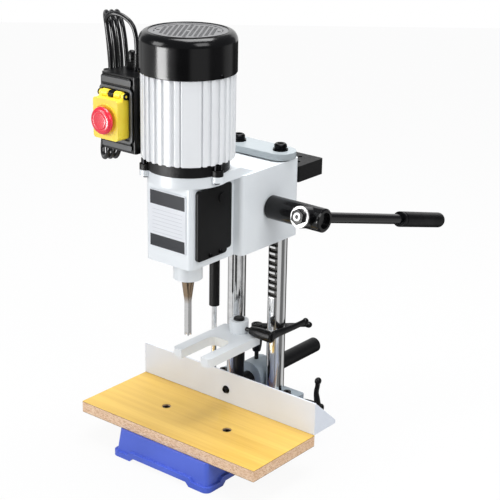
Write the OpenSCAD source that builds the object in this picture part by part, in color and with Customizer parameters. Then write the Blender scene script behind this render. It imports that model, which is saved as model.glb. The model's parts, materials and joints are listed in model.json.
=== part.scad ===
// Benchtop hollow-chisel mortiser: a motor head on two columns, fed by a long
// lever through a pinion and rack, over a small table with a fence and a hold-down fork.
// Millimetres. +Z is up, +X is to the operator's right and -Y faces the operator.
// The origin is on the bench, at the centre of the base and of its bench bolts.

/* [Base casting] */
// Width across the feet
base_w = 201; // [180:1:260]
// Depth from the front feet to the rear feet
base_d = 275; // [262:1:340]
// Height of the base up to the underside of the table
base_h = 45; // [38:1:70]
// Thickness of the walls and of the top
base_wall = 6; // [4:0.5:9]
// How far each wall leans in from its foot to the top
base_lean = 5; // [0:0.5:10]
// Radius of the upright corners
base_corner_r = 7; // [6:1:20]
// How far the foot flange stands out from the walls
flange_lip = 3.5; // [2:0.5:6]
// Thickness of the foot flange
flange_h = 9; // [6:0.5:12]
// Length of each foot along an edge of the base
foot_len = 38; // [28:1:50]
// How far the flange steps up between the feet
foot_rise = 6.5; // [3:0.5:9]
// Distance between the bench bolts along the width
bench_bolt_w = 152; // [130:1:160]
// Distance between the bench bolts along the depth
bench_bolt_d = 224; // [200:1:232]
// Depth of the bench bolts' tapped holes
bench_bolt_depth = 24; // [14:1:30]
// Radius of the bench bolts' tapped holes
bench_bolt_r = 3.4; // [2.5:0.1:4.5]

/* [Table] */
// Width of the table board
table_w = 360; // [280:5:460]
// Depth of the table board
table_d = 152; // [130:1:160]
// Thickness of the table board
table_t = 19; // [15:0.5:25]
// How far the table's front edge lies behind the front of the base
table_setback = 13; // [6:0.5:20]
// How far the spindle lies behind the front of the base
spindle_setback = 69.5; // [66:0.5:74]
// Distance between the two table screws
table_screw_gap = 128; // [60:1:150]

/* [Columns] */
// Diameter of each column
column_dia = 30; // [26:0.5:34]
// Distance between the column axes
column_gap = 84; // [80:1:90]
// Distance of the columns behind the spindle
column_setback = 169; // [164:1:176]
// Height of the columns above the base casting
column_h = 428; // [420:1:500]
// Thickness of the tie plate on top of the columns
tie_plate_t = 11; // [8:0.5:16]
// Radius of the tie plate's round ends
tie_plate_r = 25; // [20:0.5:28]
// Gap that is left between the head and the tie plate at the top of the stroke
park_gap = 2; // [1:0.5:4]
// Stroke of the head down the columns
head_stroke = 120; // [90:5:120]
// Pitch of the rack teeth cut in the right column
rack_pitch = 10.8; // [9:0.1:12]
// Height of the rack teeth
rack_tooth_h = 5.4; // [4:0.1:6]
// Width of the rack across the column
rack_w = 18; // [12:0.5:20]

/* [Column block] */
// Width of the block that holds the feet of the columns
block_w = 168; // [160:1:180]
// Depth of that block
block_d = 54; // [48:1:56]
// Height of that block
block_h = 25; // [22:1:28]
// Distance between the two bolts of the block
block_bolt_gap = 136; // [130:1:146]

/* [Fence] */
// Height of the fence plate
fence_h = 54.5; // [46:0.5:55]
// Thickness of the fence's sheet
fence_t = 3; // [2:0.25:4]
// Length of the folded wings at the ends of the fence
fence_wing = 53; // [30:1:60]
// Distance of the fence's face behind the spindle
fence_setback = 94; // [90:0.5:95]
// Diameter of the bar that carries the fence
fence_bar_dia = 26; // [20:0.5:28]
// Length of that bar
fence_bar_len = 238; // [200:1:260]
// Height of the bar's axis above the table
fence_bar_z = 23; // [22:0.5:26]
// Height of the arched bracket's top above the table
bracket_top = 52; // [48:0.5:58]
// Length of the arched bracket along the bar
bracket_len = 40; // [34:1:46]

/* [Hold-down] */
// Diameter of the upright post on the fence bar
post_dia = 18; // [14:0.5:20]
// Height of the post's top above the table
post_top = 141; // [130:1:145]
// Distance of the post behind the spindle
post_setback = 125; // [123:0.5:128]
// Gap between the arms of the fork
fork_gap = 40; // [34:1:50]
// Width of each arm of the fork
fork_arm_w = 18; // [12:0.5:22]
// Thickness of the arms
fork_arm_h = 15; // [10:0.5:20]
// Height of the underside of the arms above the table
fork_z = 101.5; // [90:0.5:104]
// Diameter of the fork's boss on the post
fork_boss_dia = 31; // [28:0.5:36]
// Height of that boss
fork_boss_h = 36; // [30:0.5:38]

/* [Head casting] */
// Width of the carriage that rides on the columns
carriage_w = 124; // [122:1:134]
// Depth of the carriage
carriage_d = 140; // [136:1:146]
// Height of the carriage
carriage_h = 127; // [124:1:150]
// Thickness of the carriage's walls
carriage_wall = 6; // [5:0.5:9]
// Width of the front housing round the chuck
housing_w = 90; // [84:1:100]
// Distance of the housing's front face before the spindle
housing_front = 45; // [42:0.5:52]
// Height of the front housing, up to the round motor seat
housing_h = 126; // [120:1:140]
// Thickness of the housing's front wall and floor
housing_wall = 9; // [7:0.5:11]
// Diameter of the round seat under the motor
seat_dia = 122; // [118:1:130]
// Height of that seat
seat_h = 17; // [12:0.5:22]
// Diameter of the chisel boss under the housing
boss_dia = 45; // [40:0.5:52]
// Height of the chisel boss
boss_h = 33; // [26:0.5:40]
// Width of the two access covers
cover_w = 77; // [70:1:84]
// Height of the two access covers
cover_h = 109; // [100:1:114]
// Thickness of the two access covers
cover_t = 5; // [3:0.5:7]

/* [Motor] */
// Diameter over the ribs of the motor body
motor_dia = 140; // [134:1:150]
// Height of the ribbed motor body
motor_h = 133; // [118:1:150]
// Thickness of the black flange ring under the motor
ring_h = 18; // [14:0.5:22]
// Diameter of that ring
ring_dia = 124; // [120:1:130]
// Diameter of the fan cover
fan_cover_dia = 144; // [140:1:154]
// Height of the fan cover
fan_cover_h = 60; // [50:1:80]
// Number of narrow ribs in each quarter of the motor body
ribs_per_quarter = 6; // [4:1:7]
// How far the ribs stand out of the motor body
rib_h = 6; // [4:0.5:8]

/* [Spindle and chisel] */
// Diameter of the motor shaft
shaft_dia = 15; // [12:0.5:16]
// Diameter of the drill chuck
chuck_dia = 38; // [30:1:44]
// Height of the drill chuck
chuck_h = 48; // [40:1:54]
// Width across the flats of the hollow chisel
chisel_w = 8; // [7.6:0.1:12]
// Length of the square part of the chisel
chisel_len = 57; // [40:1:64]
// Diameter of the chisel's round shank
chisel_shank_dia = 19; // [17:0.5:20]
// Diameter of the auger bit
auger_dia = 5.6; // [4:0.1:5.8]

/* [Feed lever] */
// Diameter of the feed hub
hub_dia = 37; // [32:0.5:44]
// Length of the feed hub
hub_len = 104; // [94:1:116]
// Diameter of the lever's bar
lever_dia = 17; // [14:0.5:18]
// Distance from the hub's axis to the end of the grip
lever_reach = 390; // [300:5:420]
// Diameter of the lever's grip
grip_dia = 26; // [22:0.5:32]
// Length of the lever's grip
grip_len = 136; // [100:1:150]
// How far the lever's rear end hangs below level at rest
lever_tilt = 14.8; // [5:0.2:25]
// Distance of the lever from the machine's middle plane
lever_x = 140; // [132:1:146]
// Diameter of the pinion shaft
pinion_shaft_dia = 20; // [16:0.5:22]
// Number of teeth on the pinion
pinion_teeth = 21; // [19:1:22]
// Height of the pinion's axis above the table
pinion_z = 343.5; // [335:0.5:350]

/* [Switch box] */
// Width of the switch box
box_w = 70; // [66:1:80]
// Depth of the switch box
box_d = 48; // [44:1:52]
// Height of the switch box
box_h = 117; // [108:1:126]
// Width of the yellow flip cover
flip_w = 50; // [46:1:54]
// Height of the yellow flip cover
flip_h = 62; // [56:1:64]
// Depth of the yellow flip cover
flip_d = 24; // [21:0.5:27]
// Diameter of the mushroom button
mushroom_dia = 42; // [34:1:46]
// Height of the box's underside above the motor seat
box_rise = 11; // [4:1:20]
// Travel of the mushroom button
mushroom_travel = 4; // [2:0.5:4]

/* [Gas strut] */
// Diameter of the strut's cylinder
strut_dia = 17; // [15:0.5:20]
// Diameter of the strut's rod
strut_rod_dia = 8; // [6:0.5:9]
// Length of the strut's cylinder
strut_len = 156; // [150:1:160]
// Height of the cylinder's lower end above the table at the top of the stroke
strut_low = 152; // [149:1:156]

/* [Tool shelf] */
// Width of the tool shelf behind the head
shelf_w = 118; // [90:1:120]
// Depth of the tool shelf
shelf_d = 66; // [50:1:76]
// Thickness of the tool shelf
shelf_t = 26; // [20:0.5:30]

/* [Clamp levers] */
// Length of the arm of the two large clamp levers
arm_len = 92; // [70:1:96]
// Length of the arm of the small clamp lever
small_arm_len = 47; // [35:1:60]

/* [Cord] */
// Diameter of the mains cord
cord_dia = 7; // [6:0.25:8]
// Distance between neighbouring strands of the hank
hank_step = 8.2; // [8:0.1:10]
// Number of full loops in the hank
hank_loops = 3; // [2:1:3]

/* [Fits] */
// Radial clearance of a shaft that turns or slides in a bore
run_gap = 0.05; // [0.02:0.01:0.08]
// Radial clearance of a piece that is held fast in a bore
press_gap = 0.02; // [0.01:0.01:0.03]
// Gap between faces of pieces that move past each other
face_gap = 0.3; // [0.2:0.05:0.5]

/* [Hidden] */
$fn = 64;
// How far a cutting solid runs past the face that it opens
cut = 1;

// Colours
blue = [0.33, 0.43, 0.82];
wood = [0.94, 0.8, 0.42];
chrome = [0.8, 0.81, 0.82];
steel = [0.62, 0.63, 0.65];
black = [0.12, 0.12, 0.13];
grey = [0.6, 0.66, 0.71];
white = [0.88, 0.9, 0.91];
bronze = [0.72, 0.53, 0.28];
yellow = [0.98, 0.84, 0.2];
red = [0.94, 0.18, 0.27];
green = [0.2, 0.6, 0.35];

// Places in the fixed frame
front_y = -base_d/2;
spindle_y = front_y + spindle_setback;
table_y = front_y + table_setback;
table_z = base_h + table_t;
column_x = column_gap/2;
column_y = spindle_y + column_setback;
column_r = column_dia/2;
column_top = base_h + column_h;
tie_top = column_top + tie_plate_t;
wall_w = base_w - 2*flange_lip;
wall_d = base_d - 2*flange_lip;
block_top = base_h + block_h;
bar_z = table_z + fence_bar_z;
bar_r = fence_bar_dia/2;
fence_y = spindle_y + fence_setback;
post_y = spindle_y + post_setback;
strut_x = -column_x - 5;
strut_y = column_y - 51;
strut_bottom = table_z + strut_low;

// Screws
screw_r = 4;
small_screw_r = 2;
screw_head_r = 6.5;
screw_head_h = 8;
bracket_screw_x = 20;
bracket_screw_r = 3;
bracket_screw_head = 5;
table_screw_y = spindle_y + 20;
counterbore_r = 7.25;
counterbore_depth = 10;
tie_bolt_r = 6;
tie_bolt_depth = 25;

// Places on the head at the top of its stroke
head_top = column_top - park_gap;
head_low = head_top - carriage_h;
carriage_front = column_y - 116;
carriage_back = carriage_front + carriage_d;
housing_top = head_top - 2;
housing_low = housing_top - housing_h;
housing_y = spindle_y - housing_front;
seat_top = housing_top + seat_h;
boss_low = housing_low - boss_h;
chisel_bush_r = 14;
lock_screw_r = 2.5;
window_front = housing_y + 16;
window_back = spindle_y + 36;
window_low = housing_low + 20;
window_top = housing_top - 11;
guide_r = column_r + 7;
guide_h = 22;
bush_t = 3;
bush_r = column_r + bush_t;
pin_z = table_z + 316;
pin_r = 4;
shelf_top = head_top - 16;
shelf_wall = 4;

// Rack and pinion
pressure_angle = 20;
rack_flat = 1;
tooth_play = 0.3;
root_gap = 0.3;
rack_spaces_down = ceil((head_stroke + 3.4*rack_pitch)/rack_pitch);
rack_spaces_up = 2;
rack_tip_y = column_y - column_r + rack_flat;
pitch_r = pinion_teeth*rack_pitch/(2*PI);
pinion_y = rack_tip_y + rack_tooth_h/2 - pitch_r;
pinion_axis_z = table_z + pinion_z;
pinion_tip_r = pitch_r + rack_tooth_h/2 - root_gap;
pinion_root_r = pitch_r - rack_tooth_h/2 - root_gap;
pinion_base_r = pitch_r*cos(pressure_angle);
pinion_w = rack_w - 2;
pinion_shaft_r = pinion_shaft_dia/2;
pinion_bush_r = pinion_shaft_r + 3;
pinion_boss_r = pinion_bush_r + 4;
hub_x = carriage_w/2 + face_gap;
lever_r = lever_dia/2;

// Motor
ring_top = seat_top + ring_h;
body_top = ring_top + motor_h;
cover_overlap = 6;
cover_shell = 2;
cover_low = body_top - cover_overlap;
cover_top = cover_low + fan_cover_h;
core_r = motor_dia/2 - rib_h;
stator_r = core_r - 6;
shaft_r = shaft_dia/2;
bearing_r = 17.5;
bearing_h = 11;
ear_r = 9;
ear_at = ring_dia/2 + 2;
ear_h = 9;
ear_angles = [-7, 113, 233];

// Spindle
chuck_low = window_low + 34;
shaft_low = chuck_low + 35;
auger_shank_r = auger_dia/2;
auger_low = table_z + 148;
shank_r = chisel_shank_dia/2;
chisel_low = auger_low + 3;
chisel_cone_low = chisel_low + chisel_len;

// Switch box
bracket_t = 3;
box_x = -motor_dia/2 - bracket_t;
box_back = -55;
box_front = box_back - box_d;
box_low = seat_top + box_rise;
box_top = box_low + box_h;
plate_w = box_w - 10;
plate_x = box_x - box_w + 2 + plate_w/2;
flip_x = plate_x + 2;
flip_low = box_low + 23;
flip_back = box_front - 3;
flip_front = flip_back - flip_d;
flip_wall = 2.5;
hinge_y = flip_back - 7;
hinge_z = flip_low + flip_h + 4;
button_z = flip_low + 30;
button_r = 8;
button_step = 21;
stem_r = 6;

// Fence, hold-down and clamp levers
fence_lever_y = column_y + 3;
column_lever_y = column_y + 11;
column_lever_z = base_h + 16;
column_lever_depth = 14;
fork_low = table_z + fork_z;
fork_front = spindle_y + 7;
fork_slot_back = post_y - 43;
fork_back = post_y + 11;
boss_mid_z = fork_low + fork_boss_h - 13;
ball_r = 6.5;
stud_r = 3.5;

// A flat rectangle with round corners, centred
module rounded(w, d, r) {
    square([w - 2*r, d], center = true);
    square([w, d - 2*r], center = true);
    for (x = [-1, 1], y = [-1, 1])
        translate([x*(w/2 - r), y*(d/2 - r)]) circle(r);
}

// An upright prism with round corners between two heights
module block(x, y, low, high, w, d, r) {
    translate([x, y, low]) linear_extrude(high - low) rounded(w, d, r);
}

// Turns what runs along Z to run along X or along Y
module along_x(x, y, z) translate([x, y, z]) rotate([0, 90, 0]) children();
module along_y(x, y, z) translate([x, y, z]) rotate([-90, 0, 0]) children();

// A flat outline pushed along Y, whose own axes then lie along X and Z
module prism_y(low, high) translate([0, high, 0]) rotate([90, 0, 0]) linear_extrude(high - low) children();

// A flat outline pushed along X, whose own axes then lie along Y and Z
module prism_x(low, high) translate([low, 0, 0]) rotate([90, 0, 90]) linear_extrude(high - low) children();

// A plain tube
module tube(outer, inner, h) {
    difference() {
        cylinder(r = outer, h = h);
        translate([0, 0, -cut]) cylinder(r = inner, h = h + 2*cut);
    }
}

// A socket-head screw whose head stands on z = 0
module cap_screw(r, length, head_r, head_h) {
    translate([0, 0, -length]) cylinder(r = r, h = length + cut);
    difference() {
        cylinder(r = head_r, h = head_h);
        translate([0, 0, head_h*0.45]) cylinder(r = head_r*0.5, h = head_h, $fn = 6);
    }
}

// A button-head screw whose head stands on z = 0
module button_screw(r, length, head_r, head_h) {
    translate([0, 0, -length]) cylinder(r = r, h = length + head_h/2);
    difference() {
        cylinder(r1 = head_r, r2 = head_r*0.7, h = head_h);
        translate([0, 0, head_h*0.5]) cylinder(r = head_r*0.4, h = head_h, $fn = 6);
    }
}

// One solid that leans in from its foot to its top
module leaning_shell(w, d, lean, r, low, high) {
    slice = 0.01;
    hull() {
        translate([0, 0, low]) linear_extrude(slice) rounded(w, d, r, $fn = 32);
        translate([0, 0, high - slice]) linear_extrude(slice) rounded(w - 2*lean, d - 2*lean, r, $fn = 32);
    }
}

// The stepped profile under the wall between two feet, which are far apart
module arch_profile(span, h) {
    polygon([[-span/2, -cut], [-span/2, 0], [-span/2 + h, h], [span/2 - h, h], [span/2, 0], [span/2, -cut]]);
}

module base_casting() color(blue) {
    post_r = 11;
    boss_r = 9;
    boss_depth = 18;
    arch_w = base_w - 2*foot_len;
    arch_d = base_d - 2*foot_len;
    difference() {
        union() {
            leaning_shell(wall_w, wall_d, base_lean, base_corner_r, 0, base_h);
            difference() {
                block(0, 0, 0, flange_h + foot_rise, base_w, base_d, base_corner_r + flange_lip);
                // The flange lies lower round the four feet
                intersection() {
                    translate([0, 0, flange_h]) prism_y(-base_d, base_d) difference() {
                        translate([-base_w, 0]) square([2*base_w, base_h]);
                        arch_profile(arch_w + 2*foot_rise, base_h);
                    }
                    translate([0, 0, flange_h]) prism_x(-base_w, base_w) difference() {
                        translate([-base_d, 0]) square([2*base_d, base_h]);
                        arch_profile(arch_d + 2*foot_rise, base_h);
                    }
                }
            }
        }
        leaning_shell(wall_w - 2*base_wall, wall_d - 2*base_wall, base_lean, base_corner_r - base_wall/2,
            -cut, base_h - base_wall);
        prism_y(-base_d, base_d) arch_profile(arch_w, foot_rise);
        prism_x(-base_w, base_w) arch_profile(arch_d, foot_rise);
        base_screw_places() cylinder(r = screw_r + press_gap, h = 2*base_h, center = true);
    }
    difference() {
        union() {
            for (x = [-1, 1], y = [-1, 1])
                translate([x*bench_bolt_w/2, y*bench_bolt_d/2, 0]) cylinder(r = post_r, h = base_h - base_wall);
            base_screw_places() translate([0, 0, -boss_depth]) cylinder(r = boss_r, h = boss_depth - base_wall);
        }
        for (x = [-1, 1], y = [-1, 1])
            translate([x*bench_bolt_w/2, y*bench_bolt_d/2, -cut])
                cylinder(r = bench_bolt_r, h = bench_bolt_depth + cut);
        base_screw_places() cylinder(r = screw_r + press_gap, h = 2*base_h, center = true);
    }
}

// Where the screws of the table and of the column block enter the base
module base_screw_places() {
    for (x = [-1, 1]) {
        translate([x*table_screw_gap/2, table_screw_y, base_h]) children();
        translate([x*block_bolt_gap/2, column_y, base_h]) children();
    }
}

module table_board() color(wood) {
    difference() {
        block(0, table_y + table_d/2, base_h, table_z, table_w, table_d, 1.5);
        for (x = [-1, 1]) translate([x*table_screw_gap/2, table_screw_y, 0]) {
            cylinder(r = screw_r + run_gap, h = table_z + cut);
            translate([0, 0, table_z - counterbore_depth]) cylinder(r = counterbore_r, h = counterbore_depth + cut);
        }
    }
}

// The screws of the table, of the column block and of the fence bracket
module base_screws() color(black) {
    below = 20;
    for (x = [-1, 1]) {
        translate([x*table_screw_gap/2, table_screw_y, table_z - counterbore_depth])
            cap_screw(screw_r, table_t - counterbore_depth + below, screw_head_r, screw_head_h);
        translate([x*block_bolt_gap/2, column_y, block_top])
            cap_screw(screw_r, block_h + below, screw_head_r, screw_head_h);
        translate([x*bracket_screw_x, column_y + 3, base_h + bracket_screw_head]) mirror([0, 0, 1])
            cap_screw(bracket_screw_r, block_h - bracket_screw_head + 12, 5, bracket_screw_head);
    }
}

// The round column with its tapped hole on top
module plain_column() {
    difference() {
        translate([0, 0, base_h]) cylinder(r = column_r, h = column_h);
        translate([0, 0, column_top - tie_bolt_depth])
            cylinder(r = tie_bolt_r + press_gap, h = tie_bolt_depth + cut);
    }
}

module left_column() color(chrome) translate([-column_x, column_y, 0]) plain_column();

// One space between two rack teeth, centred on height 0
module rack_space() {
    half = rack_pitch/4 + tooth_play/4;
    lean = tan(pressure_angle)*rack_tooth_h/2;
    prism_x(-rack_w/2, rack_w/2) polygon([
        [rack_tip_y - 2, -half - lean - 2*tan(pressure_angle)],
        [rack_tip_y + rack_tooth_h, -half + lean],
        [rack_tip_y + rack_tooth_h, half - lean],
        [rack_tip_y - 2, half + lean + 2*tan(pressure_angle)]]);
}

module right_column() color(chrome) {
    rack_low = pinion_axis_z - (rack_spaces_down + 0.5)*rack_pitch;
    rack_top = pinion_axis_z + (rack_spaces_up + 0.5)*rack_pitch;
    difference() {
        translate([column_x, column_y, 0]) plain_column();
        translate([column_x - rack_w/2, rack_tip_y - column_r, rack_low])
            cube([rack_w, column_r, rack_top - rack_low]);
        for (i = [-rack_spaces_down : rack_spaces_up])
            translate([column_x, 0, pinion_axis_z + i*rack_pitch]) rack_space();
    }
}

module column_block() color(grey) {
    difference() {
        block(0, column_y, base_h, block_top, block_w, block_d, 4);
        for (x = [-1, 1]) {
            translate([x*column_x, column_y, 0]) cylinder(r = column_r + press_gap, h = block_top + cut);
            translate([x*block_bolt_gap/2, column_y, 0]) cylinder(r = screw_r + press_gap, h = block_top + cut);
            translate([x*bracket_screw_x, column_y + 3, 0]) {
                cylinder(r = bracket_screw_r + press_gap, h = block_top + cut);
                cylinder(r = 5 + press_gap, h = base_h + bracket_screw_head);
            }
        }
        along_x(block_w/2 - column_lever_depth, column_lever_y, column_lever_z)
            cylinder(r = stud_r + run_gap, h = column_lever_depth + cut);
    }
}

module fence_bracket() color(grey) {
    half_w = bar_r + 13;
    arch_z = table_z + bracket_top - half_w;
    difference() {
        prism_y(column_y - bracket_len/2 + 3, column_y + bracket_len/2 + 3) {
            translate([-half_w, block_top]) square([2*half_w, arch_z - block_top]);
            translate([0, arch_z]) intersection() {
                circle(half_w);
                translate([-half_w, 0]) square([2*half_w, half_w]);
            }
        }
        along_y(0, 0, bar_z) cylinder(r = bar_r + run_gap, h = fence_bar_len);
        translate([0, fence_lever_y, bar_z]) cylinder(r = stud_r + run_gap, h = fence_h);
        for (x = [-1, 1]) translate([x*bracket_screw_x, column_y + 3, block_top - cut])
            cylinder(r = bracket_screw_r + press_gap, h = 12 + cut);
    }
}

module tie_plate() color(steel) {
    difference() {
        translate([0, column_y, column_top]) linear_extrude(tie_plate_t) {
            square([column_gap, 2*tie_plate_r], center = true);
            for (x = [-1, 1]) translate([x*column_x, 0]) circle(tie_plate_r);
        }
        for (x = [-1, 1]) translate([x*column_x, column_y, column_top - cut])
            cylinder(r = tie_bolt_r + press_gap, h = tie_plate_t + 2*cut);
    }
}

module tie_plate_bolts() color(black) {
    washer_t = 2.5;
    head_h = 8.5;
    for (x = [-1, 1]) translate([x*column_x, column_y, tie_top]) {
        difference() {
            union() {
                cylinder(r = 12, h = washer_t);
                translate([0, 0, washer_t]) cylinder(r = 10, h = head_h - 2);
                translate([0, 0, washer_t + head_h - 2]) cylinder(r1 = 10, r2 = 8, h = 2);
            }
            translate([0, 0, washer_t + 3]) cylinder(r = 5.8, h = head_h, $fn = 6);
        }
        translate([0, 0, -tie_plate_t - tie_bolt_depth + 2]) cylinder(r = tie_bolt_r, h = tie_plate_t + tie_bolt_depth);
    }
}

module strut_foot() color(black) {
    difference() {
        translate([strut_x, strut_y, base_h]) {
            cylinder(r = 10, h = 16);
            translate([0, 0, 16]) cylinder(r1 = 10, r2 = 7, h = 6);
        }
        translate([strut_x, strut_y, base_h + 8]) cylinder(r = strut_rod_dia/2 + press_gap, h = 20);
    }
}

// The rod and its piston, which stand still while the cylinder rises with the head
module strut_rod() color(chrome) {
    piston_z = strut_bottom + 12;
    translate([strut_x, strut_y, base_h + 8]) cylinder(r = strut_rod_dia/2, h = piston_z - base_h - 8 + cut);
    translate([strut_x, strut_y, piston_z]) cylinder(r = strut_dia/2 - 2 - run_gap, h = 6);
}

module strut_cylinder() color(black) {
    eye_r = 7;
    cap_h = 7;
    strut_top = strut_bottom + strut_len;
    difference() {
        union() {
            translate([strut_x, strut_y, strut_bottom]) cylinder(r = strut_dia/2, h = strut_len);
            translate([strut_x, strut_y, strut_top - cut]) cylinder(r = 5, h = pin_z - strut_top + cut);
            along_x(strut_x - 6, strut_y, pin_z) cylinder(r = eye_r, h = 12);
        }
        translate([strut_x, strut_y, strut_bottom + cap_h])
            cylinder(r = strut_dia/2 - 2, h = strut_len - 2*cap_h);
        translate([strut_x, strut_y, strut_bottom - cut]) cylinder(r = strut_rod_dia/2 + run_gap, h = cap_h + 2*cut);
        along_x(strut_x - 10, strut_y, pin_z) cylinder(r = pin_r + press_gap, h = 20);
    }
}

// The outline of the access cover, seen from the side
module cover_outline() {
    low = housing_low + 12;
    step = 6;
    tab_w = cover_w - 10;
    y = (window_front + window_back)/2;
    translate([y, low + cover_h/2 + step/2]) rounded(cover_w, cover_h - step, 5);
    translate([y - cover_w/2 + tab_w/2, low + cover_h/2]) rounded(tab_w, cover_h, 5);
}

module head_casting() color(white) {
    wall = carriage_wall;
    mid_y = (carriage_front + carriage_back)/2;
    ramp_w = seat_dia - 6;
    ramp_top = seat_top - 1.5;
    difference() {
        union() {
            // The carriage is hollow, apart from the bosses that guide it on the columns
            difference() {
                block(0, mid_y, head_low, head_top, carriage_w, carriage_d, 8);
                difference() {
                    block(0, mid_y, head_low - cut, head_top - wall, carriage_w - 2*wall, carriage_d - 2*wall, 3);
                    for (x = [-1, 1], z = [[-2*cut, guide_h + 2*cut], [carriage_h - guide_h, guide_h]])
                        translate([x*column_x, column_y, head_low + z[0]]) cylinder(r = guide_r, h = z[1]);
                }
            }
            difference() {
                union() {
                    translate([0, 0, housing_low]) linear_extrude(housing_h) {
                        translate([0, housing_y + 20]) rounded(housing_w, 40, 7);
                        translate([-housing_w/2, housing_y + 20])
                            square([housing_w, carriage_front + 3 - housing_y - 20]);
                    }
                    translate([0, spindle_y, housing_top]) cylinder(r = seat_dia/2, h = seat_h - ear_h);
                    translate([0, spindle_y, seat_top - ear_h]) linear_extrude(ear_h) {
                        circle(seat_dia/2);
                        for (a = ear_angles) rotate(a) translate([ear_at, 0]) circle(ear_r);
                    }
                    prism_x(-ramp_w/2, ramp_w/2) polygon([[spindle_y, housing_top], [spindle_y, ramp_top],
                        [spindle_y + seat_dia/2 - 8, ramp_top], [carriage_front + 35, head_top],
                        [carriage_front + 35, head_top - 4], [carriage_front, housing_top]]);
                    translate([0, spindle_y, boss_low]) cylinder(r = boss_dia/2, h = boss_h + cut);
                }
                prism_x(-housing_w, housing_w)
                    translate([(window_front + window_back)/2, (window_low + window_top)/2])
                    rounded(window_back - window_front, window_top - window_low, 6);
                translate([0, spindle_y, window_low + 20]) cylinder(r = 20, h = seat_top);
                translate([0, spindle_y, boss_low - cut]) cylinder(r = chisel_bush_r + press_gap, h = boss_h + 9 + cut);
                translate([0, spindle_y, boss_low]) cylinder(r = 8, h = window_low - boss_low + cut);
                along_x(-boss_dia, spindle_y, boss_low + 16) cylinder(r = lock_screw_r + press_gap, h = boss_dia);
            }
            for (x = [[-carriage_w/2 + 1, 14], [carriage_w/2 - 11, 10]])
                along_x(x[0], pinion_y, pinion_axis_z) cylinder(r = pinion_boss_r, h = x[1]);
        }
        for (x = [-1, 1]) translate([x*column_x, column_y, head_low - cut])
            cylinder(r = bush_r + press_gap, h = carriage_h + 2*cut);
        along_x(-carriage_w, pinion_y, pinion_axis_z) cylinder(r = pinion_bush_r + press_gap, h = 2*carriage_w);
        along_x(-carriage_w, strut_y, pin_z) cylinder(r = pin_r + press_gap, h = carriage_w - 20);
        for (a = ear_angles) translate([0, spindle_y, seat_top - 14]) rotate([0, 0, a])
            translate([ear_at, 0, 0]) cylinder(r = screw_r + press_gap, h = 14 + cut);
        cover_screw_places() cylinder(r = small_screw_r + press_gap, h = 10, center = true);
        shelf_screw_places() cylinder(r = small_screw_r + press_gap, h = 30, center = true);
    }
}

// Where the access covers are screwed to both sides of the housing, with Z pointing out
module cover_screw_places() {
    low = housing_low + 12;
    for (x = [-1, 1], y = [29, 52])
        translate([x*housing_w/2, (window_front + window_back)/2 - cover_w/2 + y, low + 4.5])
            rotate([0, x*90, 0]) children();
}

// Where the tool shelf is screwed to the back of the carriage, with Z pointing out
module shelf_screw_places() {
    for (x = [-1, 1]) along_y(x*18, carriage_back, shelf_top - shelf_t - 8) children();
}

module column_bushes() color(bronze) {
    for (x = [-1, 1], z = [head_low, head_top - guide_h])
        translate([x*column_x, column_y, z]) tube(bush_r, column_r + run_gap, guide_h);
}

module label_plate() color(white) {
    label_w = housing_w - 18;
    label_h = housing_h - 35;
    prism_y(housing_y - 1.5, housing_y)
        translate([0, housing_low + 23 + label_h/2]) rounded(label_w, label_h, 3);
}

module access_covers() color(black) {
    bump_y = (window_front + window_back)/2 + cover_w/2 - 22;
    bump_z = housing_low + 12 + cover_h - 20;
    difference() {
        for (x = [-1, 1]) {
            prism_x(min(x*housing_w/2, x*(housing_w/2 + cover_t)), max(x*housing_w/2, x*(housing_w/2 + cover_t)))
                cover_outline();
            along_x(x*(housing_w/2 + cover_t/2 + 1.5) - cover_t/2, bump_y, bump_z) cylinder(r = 8, h = cover_t);
        }
        cover_screw_places() cylinder(r = small_screw_r + press_gap, h = 4*cover_t, center = true);
    }
}

// The screws of the motor, the access covers, the tool shelf and the strut
module head_screws() color(black) {
    for (a = ear_angles) translate([0, spindle_y, seat_top + ear_h]) rotate([0, 0, a])
        translate([ear_at, 0, 0]) cap_screw(screw_r, ear_h + 12, screw_head_r, screw_head_h);
    cover_screw_places() translate([0, 0, cover_t]) button_screw(small_screw_r, cover_t + 4, 4, 2.2);
    shelf_screw_places() translate([0, 0, shelf_wall]) button_screw(small_screw_r, shelf_wall + 4, 4, 2.2);
    along_x(-carriage_w/2, strut_y, pin_z) rotate([0, 180, 0])
        cap_screw(pin_r, carriage_w/2 + strut_x + 6, 7, 3);
    fan_screw_places() button_screw(small_screw_r, 7, 3.5, 2);
}

module motor_flange() color(black) {
    difference() {
        union() {
            translate([0, spindle_y, seat_top]) cylinder(r = ring_dia/2, h = ring_h);
            for (a = ear_angles) translate([0, spindle_y, seat_top]) rotate([0, 0, a])
                translate([ear_at, 0, 0]) cylinder(r = ear_r, h = ear_h);
        }
        translate([0, spindle_y, seat_top + 4]) cylinder(r = bearing_r + press_gap, h = ring_h);
        translate([0, spindle_y, seat_top - cut]) cylinder(r = shaft_r + 2, h = ring_h);
        for (a = ear_angles) translate([0, spindle_y, seat_top - cut]) rotate([0, 0, a])
            translate([ear_at, 0, 0]) {
                cylinder(r = screw_r + press_gap, h = ear_h + 2*cut);
                translate([0, 0, ear_h + cut]) cylinder(r = screw_head_r + 1, h = ring_h);
            }
    }
}

// The motor body seen from above: a tube with four wide pads and narrow ribs between them
module motor_outline() {
    pad_w = 28;
    rib_w = 9;
    rib_span = 67;
    intersection() {
        circle(motor_dia/2);
        union() {
            circle(core_r);
            for (q = [0:3]) {
                rotate(45 + 90*q) translate([0, -pad_w/2]) square([motor_dia, pad_w]);
                for (i = [0:ribs_per_quarter - 1])
                    rotate(90*q + (i - (ribs_per_quarter - 1)/2)*rib_span/ribs_per_quarter)
                        translate([0, -rib_w/2]) square([motor_dia, rib_w]);
            }
        }
    }
}

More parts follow.
